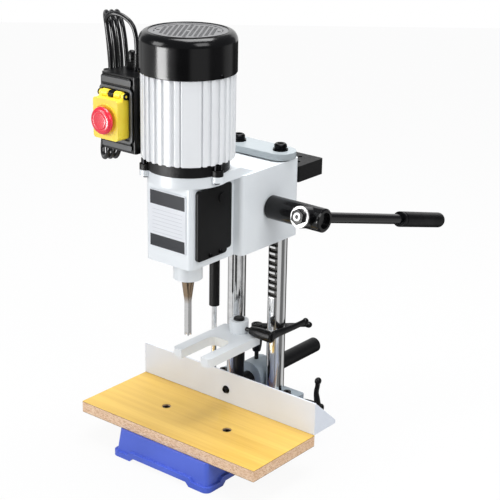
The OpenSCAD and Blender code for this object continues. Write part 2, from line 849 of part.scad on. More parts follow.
module motor_body() color(white) {
    difference() {
        union() {
            translate([0, spindle_y, ring_top]) linear_extrude(motor_h - cover_overlap) motor_outline();
            translate([0, spindle_y, cover_low - cut])
                cylinder(r = fan_cover_dia/2 - cover_shell - press_gap, h = cover_overlap + cut);
        }
        translate([0, spindle_y, ring_top - cut]) cylinder(r = stator_r, h = motor_h + 2*cut);
        fan_screw_places() cylinder(r = small_screw_r + press_gap, h = 20, center = true);
    }
}

// Where the fan cover is screwed to the motor body, with Z pointing out
module fan_screw_places() {
    for (a = ear_angles) translate([0, spindle_y, cover_low + cover_overlap/2]) rotate([0, 0, a])
        translate([fan_cover_dia/2, 0, 0]) rotate([0, 90, 0]) children();
}

module upper_end_shield() color(steel) {
    difference() {
        translate([0, spindle_y, body_top - 16]) cylinder(r = stator_r - press_gap, h = 12);
        translate([0, spindle_y, body_top - 16 - cut]) cylinder(r = bearing_r + press_gap, h = 14);
    }
}

module stator() color(steel)
    translate([0, spindle_y, ring_top + 16]) tube(stator_r - press_gap, stator_r - 24, motor_h - 53);

module rotor() color(steel)
    translate([0, spindle_y, ring_top + 18]) tube(stator_r - 25, shaft_r + press_gap, motor_h - 57);

module motor_bearings() color(steel) {
    for (z = [seat_top + 5, body_top - 16])
        translate([0, spindle_y, z]) tube(bearing_r, shaft_r + run_gap, bearing_h);
}

module motor_shaft() color(steel)
    translate([0, spindle_y, shaft_low]) cylinder(r = shaft_r, h = body_top + 30 - shaft_low);

module cooling_fan() color(black) {
    fan_r = fan_cover_dia/2 - 20;
    difference() {
        translate([0, spindle_y, body_top + 4]) {
            cylinder(r = 14, h = 22);
            cylinder(r = fan_r, h = 2.5);
            for (a = [0:40:320]) rotate([0, 0, a]) translate([10, -1, 0]) cube([fan_r - 11, 2, 20]);
        }
        translate([0, spindle_y, body_top]) cylinder(r = shaft_r + press_gap, h = 40);
    }
}

module fan_cover() color(black) {
    r = fan_cover_dia/2;
    shoulder = 14;
    grille_r = r - 17;
    slot_rows = [[22, 12], [34, 18], [46, 24]];
    difference() {
        translate([0, spindle_y, 0]) rotate_extrude() difference() {
            union() {
                translate([0, cover_low]) square([r, fan_cover_h - shoulder]);
                translate([0, cover_low]) square([r - shoulder, fan_cover_h]);
                translate([r - shoulder, cover_top - shoulder]) circle(shoulder);
            }
            translate([0, cover_low - cut]) square([r - cover_shell, fan_cover_h - shoulder + cut]);
            translate([0, cover_low - cut]) square([r - shoulder, fan_cover_h - cover_shell + cut]);
            translate([r - shoulder, cover_top - shoulder]) circle(shoulder - cover_shell);
            translate([0, cover_top - 0.8]) square([grille_r, 2]);
            translate([-r, cover_low - cut]) square([r, fan_cover_h + 2*cut]);
        }
        for (row = slot_rows, i = [0:row[1] - 1])
            translate([0, spindle_y, cover_top - 5]) rotate([0, 0, i*360/row[1]])
                translate([row[0], -1.5, 0]) cube([8, 3, 6]);
        fan_screw_places() cylinder(r = small_screw_r + press_gap, h = 10, center = true);
    }
}

module drill_chuck() color(steel) {
    difference() {
        translate([0, spindle_y, chuck_low]) {
            cylinder(r1 = chuck_dia/2 - 6, r2 = chuck_dia/2 - 1, h = 10);
            translate([0, 0, 10]) cylinder(r = chuck_dia/2, h = chuck_h - 18);
            translate([0, 0, chuck_h - 8]) cylinder(r = chuck_dia/2 - 3, h = 8);
        }
        translate([0, spindle_y, shaft_low - press_gap]) cylinder(r = shaft_r + press_gap, h = chuck_h);
        translate([0, spindle_y, chuck_low - cut]) cylinder(r = auger_shank_r + press_gap, h = chuck_h - 24);
    }
}

// A round shank over a core with one spiral flute
module auger_bit() color(steel) {
    flute_top = boss_low + 30;
    turns = 5;
    core_r = auger_dia*0.23;
    translate([0, spindle_y, flute_top]) cylinder(r = auger_shank_r, h = chuck_low + 20 - flute_top);
    translate([0, spindle_y, auger_low]) cylinder(r1 = 0.3, r2 = core_r*0.8, h = 3.5, $fn = 12);
    translate([0, spindle_y, auger_low + 3])
        linear_extrude(flute_top - auger_low - 3, twist = -360*turns, slices = 10*turns, $fn = 6) {
            circle(core_r, $fn = 6);
            square([auger_dia, auger_dia*0.22], center = true);
        }
}

module chisel_bush() color(bronze)
    translate([0, spindle_y, boss_low]) difference() {
        tube(chisel_bush_r, shank_r + press_gap, boss_h + 9);
        along_x(-boss_dia, 0, 16) cylinder(r = lock_screw_r + press_gap, h = boss_dia);
    }

module chisel_lock_screw() color(black) {
    along_x(-boss_dia/2 - 12, spindle_y, boss_low + 16) {
        cylinder(r = 4.5, h = 7);
        translate([0, 0, 6]) cylinder(r = lock_screw_r, h = 12 + boss_dia/2 - 6 - shank_r);
    }
}

// The square chisel with its round shank, hollow for the auger, with a chip slot in one side
module hollow_chisel() color(steel) {
    bore = auger_dia/2 + 0.5;
    slice = 0.01;
    tip_h = 5;
    window = [chisel_w, chisel_w*0.4, 44];
    difference() {
        translate([0, spindle_y, 0]) {
            translate([0, 0, boss_low - 1]) cylinder(r = shank_r, h = boss_h + 9 + 1);
            hull() {
                translate([0, 0, boss_low - 1]) cylinder(r = shank_r + 1, h = 1, $fn = 32);
                translate([0, 0, chisel_cone_low]) linear_extrude(slice) square(chisel_w, center = true);
            }
            translate([0, 0, chisel_low]) linear_extrude(chisel_len + slice) square(chisel_w, center = true);
        }
        translate([0, spindle_y, chisel_low - cut]) cylinder(r = bore, h = 200);
        translate([-window.x, spindle_y - window.y/2, chisel_low + 14]) cube(window);
        for (a = [0, 90]) translate([0, spindle_y, chisel_low]) rotate([0, 0, a])
            prism_y(-chisel_w, chisel_w)
            polygon([[-chisel_w/2 + 1, -cut], [0, tip_h], [chisel_w/2 - 1, -cut]]);
    }
}

// Half the angle of a pinion tooth, in degrees, at a radius
function involute(angle) = tan(angle)*180/PI - angle;
function half_tooth(r) = (rack_pitch/2 - tooth_play)/2/pitch_r*180/PI
    + involute(pressure_angle) - involute(acos(pinion_base_r/max(r, pinion_base_r)));
function around(r, angle) = [r*cos(angle), r*sin(angle)];

module pinion_gear() color(steel) {
    steps = 4;
    radii = [for (i = [0:steps]) pinion_base_r + (pinion_tip_r - pinion_base_r)*i/steps];
    tooth = concat([around(pinion_root_r - 1, -half_tooth(pinion_base_r))],
        [for (r = radii) around(r, -half_tooth(r))],
        [for (i = [steps:-1:0]) around(radii[i], half_tooth(radii[i]))],
        [around(pinion_root_r - 1, half_tooth(pinion_base_r))]);
    difference() {
        translate([0, pinion_y, pinion_axis_z]) prism_x(column_x - pinion_w/2, column_x + pinion_w/2) {
            circle(pinion_root_r);
            for (i = [0:pinion_teeth - 1]) rotate(i*360/pinion_teeth) polygon(tooth);
        }
        along_x(0, pinion_y, pinion_axis_z) cylinder(r = pinion_shaft_r + press_gap, h = carriage_w);
    }
}

module pinion_bushes() color(bronze) {
    side = carriage_w/2;
    for (x = [[-side, 12], [side - 10.5, 10.5]])
        along_x(x[0], pinion_y, pinion_axis_z) tube(pinion_bush_r, pinion_shaft_r + run_gap, x[1]);
}

module pinion_shaft() color(steel) {
    along_x(-carriage_w/2 - 1, pinion_y, pinion_axis_z) cylinder(r = pinion_shaft_r, h = carriage_w + 1 + 34);
    along_x(-carriage_w/2 - 4, pinion_y, pinion_axis_z) cylinder(r = pinion_bush_r, h = 4 - face_gap);
}

// Places a solid so that its Z runs along the lever, from the hub's axis to the grip
module along_lever() translate([lever_x, pinion_y, pinion_axis_z]) rotate([-90 - lever_tilt, 0, 0]) children();

module feed_hub() color(black) {
    hub_r = hub_dia/2;
    difference() {
        union() {
            along_x(hub_x, pinion_y, pinion_axis_z) {
                cylinder(r1 = hub_r - 2, r2 = hub_r, h = 2);
                translate([0, 0, 2]) cylinder(r = hub_r, h = hub_len - 4);
                translate([0, 0, hub_len - 2]) cylinder(r1 = hub_r, r2 = hub_r - 2, h = 2);
            }
            along_lever() translate([0, 0, -28]) cylinder(r = 17, h = 28);
        }
        along_x(hub_x - cut, pinion_y, pinion_axis_z) cylinder(r = pinion_shaft_r + press_gap, h = 35 + cut);
        along_x(hub_x + hub_len - 6, pinion_y, pinion_axis_z) cylinder(r = hub_r - 6, h = 6 + cut);
        along_lever() translate([0, 0, -60]) cylinder(r = lever_r + press_gap, h = 120);
    }
}

module lever_bar() color(black)
    along_lever() translate([0, 0, -38]) cylinder(r = lever_r, h = 38 + lever_reach - grip_len + 80);

module lever_nut() color(steel) {
    along_lever() translate([0, 0, -31]) tube(16.5, lever_r + press_gap, 2.8);
    along_lever() translate([0, 0, -37]) difference() {
        cylinder(r = 14.5, h = 6, $fn = 6);
        translate([0, 0, -cut]) cylinder(r = lever_r + press_gap, h = 8);
    }
}

module lever_grip() color(black) {
    r = grip_dia/2;
    along_lever() difference() {
        translate([0, 0, lever_reach - grip_len]) {
            cylinder(r1 = r - 2, r2 = r, h = 4);
            translate([0, 0, 4]) cylinder(r = r, h = grip_len - 4 - r/2);
            translate([0, 0, grip_len - r/2]) cylinder(r1 = r, r2 = r*0.7, h = r/2);
        }
        translate([0, 0, lever_reach - grip_len - cut]) cylinder(r = lever_r + press_gap, h = 81.1);
    }
}

module fence_plate() color(white) {
    low = table_z + 0.5;
    h = fence_h - 0.5;
    wing_end = 6;
    difference() {
        union() {
            prism_y(fence_y, fence_y + fence_t)
                translate([-table_w/2, low]) square([table_w, h]);
            for (x = [-table_w/2, table_w/2 - fence_t])
                prism_x(x, x + fence_t) polygon([
                    [fence_y + fence_t - cut, low],
                    [fence_y + fence_t - cut, low + h],
                    [fence_y + fence_t + fence_wing, low + wing_end],
                    [fence_y + fence_t + fence_wing, low]]);
        }
        along_y(0, fence_y - cut, bar_z) cylinder(r = screw_r + press_gap, h = fence_t + 2*cut);
    }
}

module fence_screw() color(black)
    along_y(0, fence_y, bar_z) rotate([180, 0, 0]) button_screw(screw_r, 22, 7, 4);

module fence_bar() color(black) {
    difference() {
        along_y(0, fence_y + fence_t, bar_z) cylinder(r = bar_r, h = fence_bar_len);
        along_y(0, fence_y, bar_z) cylinder(r = screw_r + press_gap, h = 24);
        translate([0, post_y, bar_z - bar_r]) cylinder(r = post_dia/2 + press_gap, h = 2*bar_r);
    }
}

module holddown_post() color(black) {
    post_bottom = bar_z - bar_r + 2;
    post_z = table_z + post_top;
    translate([0, post_y, post_bottom]) cylinder(r = post_dia/2, h = post_z - 1.5 - post_bottom);
    translate([0, post_y, post_z - 1.5]) cylinder(r1 = post_dia/2, r2 = post_dia/2 - 1.5, h = 1.5);
}

module holddown_fork() color(white) {
    outer_w = fork_gap + 2*fork_arm_w;
    slot_len = fork_slot_back - fork_front;
    difference() {
        union() {
            difference() {
                block(0, (fork_front + fork_back)/2, fork_low, fork_low + fork_arm_h, outer_w,
                    fork_back - fork_front, 6);
                translate([0, 0, fork_low - cut]) linear_extrude(fork_arm_h + 2*cut) {
                    translate([0, fork_slot_back - slot_len/2]) rounded(fork_gap, slot_len, 12);
                    translate([-fork_gap/2, fork_front - cut]) square([fork_gap, slot_len/2]);
                }
            }
            translate([0, post_y, fork_low - 0.5]) cylinder(r = fork_boss_dia/2, h = fork_boss_h);
        }
        translate([0, post_y, fork_low - cut - 0.5]) cylinder(r = post_dia/2 + run_gap, h = fork_boss_h + 2*cut);
        along_x(0, post_y, boss_mid_z) cylinder(r = stud_r + run_gap, h = fork_boss_dia);
    }
}

// A clamp lever on a stud along Z: the stud's free part, its hub, and an arm out along X to a ball
module clamp_lever(stud_in, stud_out, hub_h, hub_r, arm, arm_at) {
    translate([0, 0, -stud_in]) cylinder(r = stud_r, h = stud_in + stud_out + cut);
    translate([0, 0, stud_out]) cylinder(r1 = hub_r*0.7, r2 = hub_r, h = hub_h - hub_r/2);
    translate([0, 0, stud_out + hub_h - hub_r/2 - 0.01]) cylinder(r1 = hub_r, r2 = hub_r*0.6, h = hub_r/2);
    hull() {
        translate([0, 0, arm_at]) sphere(hub_r*0.62, $fn = 24);
        translate([arm*0.5, 0, arm_at]) sphere(ball_r*0.7, $fn = 24);
    }
    hull() {
        translate([arm*0.5, 0, arm_at]) sphere(ball_r*0.7, $fn = 24);
        translate([arm, 0, arm_at]) sphere(ball_r*0.75, $fn = 24);
    }
    translate([arm, 0, arm_at]) sphere(ball_r);
}

module holddown_lever() color(black)
    along_x(fork_boss_dia/2, post_y, boss_mid_z) rotate([0, 0, 90 - 1.5])
    clamp_lever(fork_boss_dia/2 - post_dia/2 - face_gap, 9, 44, 9.5, arm_len, 50);

module fence_lever() color(black)
    translate([0, fence_lever_y, table_z + bracket_top]) rotate([0, 0, 45.5])
    clamp_lever(bracket_top - fence_bar_z - bar_r - face_gap, 14, 49, 9.5, arm_len - 6, 58);

module column_lever() color(black)
    along_x(block_w/2, column_lever_y, column_lever_z) rotate([0, 0, 177])
    clamp_lever(column_lever_depth - face_gap, 6, 40, 9, small_arm_len, 36);

// A saddle between the round motor body and the flat side of the switch box
module switch_bracket() color(black) {
    low = box_low + 27;
    high = box_low + 97;
    difference() {
        translate([box_x, spindle_y - 24, low]) cube([14, 40, high - low]);
        translate([0, spindle_y, low - cut]) cylinder(r = motor_dia/2 + press_gap, h = high - low + 2*cut, $fn = 256);
    }
}

module switch_box() color(black) {
    wall = 3;
    mid_x = box_x - box_w/2;
    mid_y = (box_front + box_back)/2;
    difference() {
        block(mid_x, mid_y, box_low, box_top, box_w, box_d, 4);
        block(mid_x, mid_y, box_low + wall, box_top - wall, box_w - 2*wall, box_d - 2*wall, 2);
        translate([plate_x - plate_w/2 + 3, box_front - cut, box_low + 6])
            cube([plate_w - 6, wall + 2*cut, box_h - 12]);
        translate([cord_x, cord_y, box_top - wall - cut]) cylinder(r = cord_dia/2 + 0.5, h = wall + 2*cut);
    }
}

module switch_plate() color(grey) {
    ear_t = 2;
    difference() {
        prism_y(flip_back + face_gap, box_front)
            translate([plate_x, (box_low + box_top)/2]) rounded(plate_w, box_h - 6, 4);
        for (z = [button_z, button_z + button_step])
            along_y(flip_x, box_front - 10, z) cylinder(r = button_r + run_gap, h = 20);
    }
    // Two ears that hold the hinge pin of the flip cover
    for (x = [-flip_w/2 - ear_t - face_gap, flip_w/2 + face_gap]) difference() {
        prism_x(flip_x + x, flip_x + x + ear_t) {
            translate([hinge_y, hinge_z]) circle(5);
            translate([hinge_y, hinge_z - 5]) square([box_front - hinge_y, 10]);
        }
        along_x(flip_x + x - cut, hinge_y, hinge_z) cylinder(r = 2 + run_gap, h = 5);
    }
}

// The yellow cover, open at the back, with a hole for the mushroom button and its own hinge pin
module flip_cover() color(yellow) {
    side = flip_w/2;
    difference() {
        union() {
            block_y(flip_front, flip_back, flip_low, flip_low + flip_h, flip_w, 5);
            prism_x(flip_x - side, flip_x + side) {
                translate([hinge_y, hinge_z]) circle(4.5);
                translate([hinge_y - 4.5, hinge_z - 10]) square([9, 10]);
            }
        }
        block_y(flip_front + flip_wall, flip_back + cut, flip_low + flip_wall, flip_low + flip_h - flip_wall,
            flip_w - 2*flip_wall, 3);
        along_y(flip_x, flip_front - cut, button_z) cylinder(r = stem_r + run_gap, h = 6);
    }
    along_x(flip_x - side - 2 - face_gap, hinge_y, hinge_z) cylinder(r = 2, h = flip_w + 4 + 2*face_gap);
}

// A block with round corners seen from the front
module block_y(front, back, low, high, w, r) {
    prism_y(front, back) translate([flip_x, (low + high)/2]) rounded(w, high - low, r);
}

module mushroom_button() color(red) {
    head_h = 9;
    head_r = mushroom_dia/2;
    head_y = flip_front - mushroom_travel - face_gap;
    along_y(flip_x, head_y, button_z) {
        mirror([0, 0, 1]) {
            cylinder(r1 = head_r - 1, r2 = head_r, h = 2);
            translate([0, 0, 2]) cylinder(r1 = head_r, r2 = head_r - 5, h = head_h - 2);
        }
        cylinder(r = stem_r, h = flip_back - head_y - face_gap);
    }
}

module push_button(z) {
    along_y(flip_x, flip_back, z) cylinder(r = button_r, h = 14);
}

module start_button() color(green) push_button(button_z + button_step);

module stop_button() color(red) push_button(button_z);

// The tapered strain relief of the mains cord, and the domed cap of the overload cut-out
module cord_glands() color(black) {
    difference() {
        translate([cord_x, cord_y, box_top]) {
            cylinder(r = 6.5, h = 6);
            translate([0, 0, 6]) cylinder(r1 = 5.4, r2 = cord_dia/2 + 0.7, h = relief_h - 6);
        }
        translate([cord_x, cord_y, box_top - cut]) cylinder(r = cord_dia/2 + press_gap, h = relief_h + 2*cut);
    }
    translate([cap_x, cap_y, box_top]) {
        cylinder(r = 8.5, h = 12, $fn = 6);
        translate([0, 0, 12]) cylinder(r = 6, h = 11);
        translate([0, 0, 23]) intersection() {
            sphere(6);
            cylinder(r = 6, h = 6);
        }
    }
}

// The tray behind the head, with holes for chisels and keys
module tool_shelf() color(black) {
    low = shelf_top - shelf_t;
    difference() {
        union() {
            block(1, carriage_back + shelf_d/2, low, shelf_top, shelf_w, shelf_d, 4);
            translate([-30, carriage_back, low - 14]) cube([60, shelf_wall, 15]);
            for (x = [-28, 24]) prism_x(x, x + 4)
                polygon([[carriage_back, low - 14], [carriage_back, low + 1], [carriage_back + 18, low + 1]]);
        }
        for (i = [0:3]) {
            translate([-40 + i*27, carriage_back + 22, low + 4]) cylinder(r = 8 - i, h = shelf_t);
            translate([-45 + i*24, carriage_back + 48, low + 4]) cylinder(r = 5.5 - i*0.6, h = shelf_t);
        }
        shelf_screw_places() cylinder(r = small_screw_r + press_gap, h = 20, center = true);
    }
}

// The mains cord: up out of the box, over into a hank behind it, and back up to the plug
cord_x = -104;
cord_y = -66;
cap_x = -119;
cap_y = -61;
relief_h = 26;
cord_r = cord_dia/2;
hank_x = -167.5;
hank_y = -43;
hank_turn = 146;
hank_half = 24;
waist_half = 15;
waist_reach = 60;
hank_low = 465;
hank_top = 692;
hank_bow = 11;
across = [cos(hank_turn), sin(hank_turn)];
along = [sin(hank_turn), -cos(hank_turn)];
arc_steps = 7;
run_steps = 5;
loop_steps = 2*(arc_steps + run_steps);
hank_sides = 6;
cord_sides = 8;

function pinch(z) = abs(z - waist_z) > waist_reach ? 0 : pow(cos(90*(z - waist_z)/waist_reach), 2);
function half_at(z) = hank_half - (hank_half - waist_half)*pinch(z);
function bow_at(z) = hank_bow*pow((z - (hank_low + hank_top)/2)/((hank_top - hank_low)/2), 2);
low_arc_z = hank_low + hank_half;
top_arc_z = hank_top - hank_half;
waist_z = top_arc_z - 2*(top_arc_z - low_arc_z)/run_steps;
start_q = -1.5*hank_step;

// Turns a place across and along the hank, at a height, into a point of the frame
function hank_place(p, q, z) = [
    hank_x + p*across[0] + (q - bow_at(z))*along[0],
    hank_y + p*across[1] + (q - bow_at(z))*along[1], z];

// One ring of the hank: down the near run, round below, up the far run with the step, round above
function hank_point(i) =
    let(loop = floor(i/loop_steps), k = i%loop_steps, q = start_q + loop*hank_step)
    k <= run_steps ?
        let(z = top_arc_z + (low_arc_z - top_arc_z)*k/run_steps) hank_place(-half_at(z), q, z)
    : k <= run_steps + arc_steps ?
        let(a = 180*(k - run_steps)/arc_steps)
        hank_place(-hank_half*cos(a), q, low_arc_z - hank_half*sin(a))
    : k <= 2*run_steps + arc_steps ?
        let(t = (k - run_steps - arc_steps)/run_steps, z = low_arc_z + (top_arc_z - low_arc_z)*t)
        hank_place(half_at(z), q + hank_step*t, z)
    :   let(a = 180*(k - 2*run_steps - arc_steps)/arc_steps)
        hank_place(hank_half*cos(a), q + hank_step, top_arc_z + hank_half*sin(a));

hank_points = [for (i = [0 : hank_loops*loop_steps + run_steps - 1]) hank_point(i)];

function unit(v) = v/norm(v);
// The gap between the hank and the free cord, as a share of the cord's diameter
joint_gap = 0.005;
hank_start = hank_points[0] + cord_dia*unit(hank_points[0] - hank_points[1]);
hank_last = len(hank_points) - 1;
hank_end = hank_points[hank_last] + cord_dia*unit(hank_points[hank_last] - hank_points[hank_last - 1]);
hank_route = concat([hank_start], hank_points, [hank_end]);
lead_route = concat([[cord_x, cord_y, box_top], [-104, -66, 640], [-104, -66.5, 657], [-105, -68, 671],
    [-109, -70, 683], [-118, -73, 692], [-131, -76, 697], [-144, -78, 696], [-154, -77, 690]],
    [hank_start + (hank_start - hank_points[0])*1.2, hank_start + (hank_start - hank_points[0])*joint_gap]);
tail_route = concat([hank_end + (hank_end - hank_points[hank_last])*joint_gap,
    hank_end + (hank_end - hank_points[hank_last])*1.2],
    [[-141.5, -48.5, 499], [-137.5, -47, 490.5], [-130, -44.5, 485], [-120, -41.5, 483], [-110, -39, 485.5],
    [-102, -38, 492], [-98.5, -38, 501.5], [-98, -38, 510], [-98, -38, 519]]);

// The tangent at every point of a route: its neighbours' direction, or its only neighbour's at an end
function tangents(route) = [for (i = [0 : len(route) - 1])
    unit(route[min(i + 1, len(route) - 1)] - route[max(i - 1, 0)])];

// One normal a point, each carried on from the one before it without twist
function normals(t) = [for (i = 0, n = unit(cross(t[0], [0.3, 1, 0.2])); i < len(t);
    i = i + 1, n = i < len(t) ? unit(n - (n*t[i])*t[i]) : n) n];

// A tube of triangles along a route
module cord_tube(route, sides) {
    t = tangents(route);
    n = normals(t);
    count = len(route);
    points = [for (i = [0 : count - 1], j = [0 : sides - 1])
        route[i] + cord_r*(cos(360*j/sides)*n[i] + sin(360*j/sides)*cross(t[i], n[i]))];
    sheath = [for (i = [0 : count - 2], j = [0 : sides - 1], side = [0, 1])
        let(a = i*sides + j, b = i*sides + (j + 1)%sides)
        side == 0 ? [a, a + sides, b] : [b, a + sides, b + sides]];
    first = [for (j = [1 : sides - 2]) [0, j, j + 1]];
    last = [for (j = [1 : sides - 2]) [(count - 1)*sides, (count - 1)*sides + j + 1, (count - 1)*sides + j]];
    polyhedron(concat(points), concat(sheath, first, last));
}

// The least gap between two stretches of the hank that are more than four rings apart
hank_samples = [for (i = [0 : hank_last - 1], s = [0 : 3])
    [i, hank_points[i] + (hank_points[i + 1] - hank_points[i])*s/4]];
hank_gap = min([for (a = [0 : len(hank_samples) - 1], b = [a + 1 : len(hank_samples) - 1])
    if (hank_samples[b][0] - hank_samples[a][0] > 4) norm(hank_samples[b][1] - hank_samples[a][1])]) - cord_dia;
echo(least_gap_in_hank = hank_gap);

module mains_cord() color(black) cord_tube(lead_route, cord_sides);

module cord_hank() color(black) cord_tube(hank_route, hank_sides);

module cord_tail() color(black) cord_tube(tail_route, cord_sides);

// The band that draws the hank in at its waist
module cord_tie() color(black) {
    tie_t = 1.4;
    tie_h = 9;
    room = cord_r + 1.2;
    w = 2*(waist_half + room);
    d = -2*start_q + 2*room;
    centre = hank_place(0, 0, waist_z);
    translate([centre[0], centre[1], waist_z - tie_h/2]) rotate([0, 0, hank_turn]) linear_extrude(tie_h)
        difference() {
            rounded(w + 2*tie_t, d + 2*tie_t, room + tie_t);
            rounded(w, d, room);
        }
}

module plug() color(black) {
    foot = tail_route[len(tail_route) - 1];
    translate(foot) {
        cylinder(r1 = cord_r + 0.8, r2 = 6, h = 14);
        translate([0, 0, 13]) linear_extrude(6) rounded(22, 15, 6);
        translate([0, 0, 18]) linear_extrude(20) rounded(28, 18, 6);
        for (x = [-1, 1]) translate([x*6.3 - 0.75, -3, 37]) cube([1.5, 6, 19]);
        translate([0, 5.5, 37]) cylinder(r = 2.4, h = 20);
    }
}

base_casting();
table_board();
base_screws();
left_column();
right_column();
column_block();
fence_bracket();
tie_plate();
tie_plate_bolts();
strut_foot();
strut_rod();
head_casting();
column_bushes();
label_plate();
access_covers();
head_screws();
motor_flange();
motor_body();
upper_end_shield();
stator();
motor_bearings();
fan_cover();
switch_bracket();
switch_box();
switch_plate();
cord_glands();
chisel_bush();
chisel_lock_screw();
hollow_chisel();
tool_shelf();
strut_cylinder();
pinion_bushes();
motor_shaft();
rotor();
cooling_fan();
drill_chuck();
auger_bit();
pinion_shaft();
pinion_gear();
feed_hub();
lever_bar();
lever_nut();
lever_grip();
fence_plate();
fence_bar();
fence_screw();
holddown_post();
holddown_fork();
holddown_lever();
fence_lever();
column_lever();
flip_cover();
mushroom_button();
start_button();
stop_button();
mains_cord();
cord_hank();
cord_tail();
cord_tie();
plug();
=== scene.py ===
# %% [markdown]
# # Dressing a benchtop mortiser
#
# A mortiser drills square holes: an auger turns inside a square hollow chisel while a long lever feeds the
# whole head down two columns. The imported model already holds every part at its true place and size. This
# lesson gives those parts their real surfaces: paint, chrome, ribs, rounded edges, a wound cord.
#
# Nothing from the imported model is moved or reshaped. Where a part needs a better form, a new piece is made
# in the same place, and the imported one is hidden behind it. All lengths are in metres, so `mm` is handy.

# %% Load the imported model
import json
from math import atan2, cos, pi, radians, sin

import bmesh
import bpy
from mathutils import Matrix, Vector

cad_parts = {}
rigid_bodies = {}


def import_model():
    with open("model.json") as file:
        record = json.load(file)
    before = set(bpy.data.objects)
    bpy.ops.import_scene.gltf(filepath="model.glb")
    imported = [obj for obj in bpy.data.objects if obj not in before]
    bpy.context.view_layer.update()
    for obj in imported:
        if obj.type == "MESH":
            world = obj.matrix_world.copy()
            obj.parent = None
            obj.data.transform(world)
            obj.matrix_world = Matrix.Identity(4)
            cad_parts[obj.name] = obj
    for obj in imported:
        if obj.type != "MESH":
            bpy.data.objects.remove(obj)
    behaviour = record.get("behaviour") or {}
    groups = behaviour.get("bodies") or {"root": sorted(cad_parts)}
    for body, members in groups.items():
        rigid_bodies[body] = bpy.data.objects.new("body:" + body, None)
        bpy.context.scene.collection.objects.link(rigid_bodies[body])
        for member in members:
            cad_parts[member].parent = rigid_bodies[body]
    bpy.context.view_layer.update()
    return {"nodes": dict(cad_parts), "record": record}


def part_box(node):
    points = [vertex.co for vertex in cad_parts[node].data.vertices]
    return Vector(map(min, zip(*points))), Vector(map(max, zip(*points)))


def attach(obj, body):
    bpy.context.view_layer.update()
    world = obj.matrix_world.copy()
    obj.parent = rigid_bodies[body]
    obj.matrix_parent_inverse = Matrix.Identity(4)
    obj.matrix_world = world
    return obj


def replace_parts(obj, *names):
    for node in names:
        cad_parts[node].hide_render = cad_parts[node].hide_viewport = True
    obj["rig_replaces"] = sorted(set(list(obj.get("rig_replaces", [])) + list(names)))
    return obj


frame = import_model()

mm = 0.001

# %% [markdown]
# ## The camera
#
# The photograph was taken from the front right and from above, through a long lens: its vertical lines
# hardly lean. A camera is easiest to aim by building its three axes. Two angles say where it looks from,
# and the third turns the picture a little. The axes are the columns of its rotation.

# %% Camera
yaw, pitch, roll = 0.6765, 0.3480, 0.0172
camera_at, focal_mm, sensor_mm = (1.32857, -1.57278, 1.08330), 101.34, 36
back = Vector((sin(yaw)*cos(pitch), -cos(yaw)*cos(pitch), sin(pitch)))
right = Vector((cos(yaw), sin(yaw), 0))
up = back.cross(right)
axes = Matrix((right*cos(roll) + up*sin(roll), up*cos(roll) - right*sin(roll), back)).transposed()
lens = bpy.data.cameras.new("camera")
lens.lens, lens.sensor_width = focal_mm, sensor_mm
camera = bpy.data.objects.new("camera", lens)
camera.matrix_world = Matrix.Translation(camera_at) @ axes.to_4x4()
bpy.context.collection.objects.link(camera)
bpy.context.scene.camera = camera
print("camera looks along", [round(x, 3) for x in -back])

# %% [markdown]
# ## The mains cord
#
# The cord leaves the switch box through its strain relief, arches over, and is wound into a tall hank
# beside the motor, drawn in at its waist by a band. Its tail comes up again under the hank and ends in the
# plug. A cord is one smooth line with a round section, so it is a curve: points along the route, and a
# bevel for its thickness. The route repeats the one in the part's source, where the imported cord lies.

# %% The cord's route
from_mm = lambda points: [Vector(p)*mm for p in points]
cord_d = 7*mm
hank_at, hank_turn = Vector((-167.5, -43))*mm, radians(146)
hank_half, waist_half, waist_z, waist_reach = 24*mm, 15*mm, 596.4*mm, 60*mm
hank_low, hank_top, hank_bow, hank_step = 465*mm, 692*mm, 11*mm, 8.2*mm
arc_steps, run_steps, hank_loops = 7, 5, 3
across = Vector((cos(hank_turn), sin(hank_turn), 0))
along = Vector((sin(hank_turn), -cos(hank_turn), 0))


def hank_place(p, q, z):
    """A point of the hank: p across it, q along its axis, at height z."""
    middle, reach = (hank_low + hank_top)/2, (hank_top - hank_low)/2
    bow = hank_bow*((z - middle)/reach)**2
    return Vector((hank_at.x, hank_at.y, z)) + across*p + along*(q - bow)


def half_at(z):
    """Half the hank's width, which is pinched at the band."""
    off = abs(z - waist_z)
    return hank_half - (0 if off > waist_reach else (hank_half - waist_half)*cos(pi/2*off/waist_reach)**2)


def hank_point(i):
    """Down one run, round below, up the other run while stepping along, and round above."""
    loop, k = divmod(i, 2*(arc_steps + run_steps))
    low, top = hank_low + hank_half, hank_top - hank_half
    q = -hank_loops/2*hank_step + loop*hank_step
    if k <= run_steps:
        z = top + (low - top)*k/run_steps
        return hank_place(-half_at(z), q, z)
    if k <= run_steps + arc_steps:
        a = pi*(k - run_steps)/arc_steps
        return hank_place(-hank_half*cos(a), q, low - hank_half*sin(a))
    if k <= 2*run_steps + arc_steps:
        t = (k - run_steps - arc_steps)/run_steps
        z = low + (top - low)*t
        return hank_place(half_at(z), q + hank_step*t, z)
    a = pi*(k - 2*run_steps - arc_steps)/arc_steps
    return hank_place(hank_half*cos(a), q + hank_step, top + hank_half*sin(a))


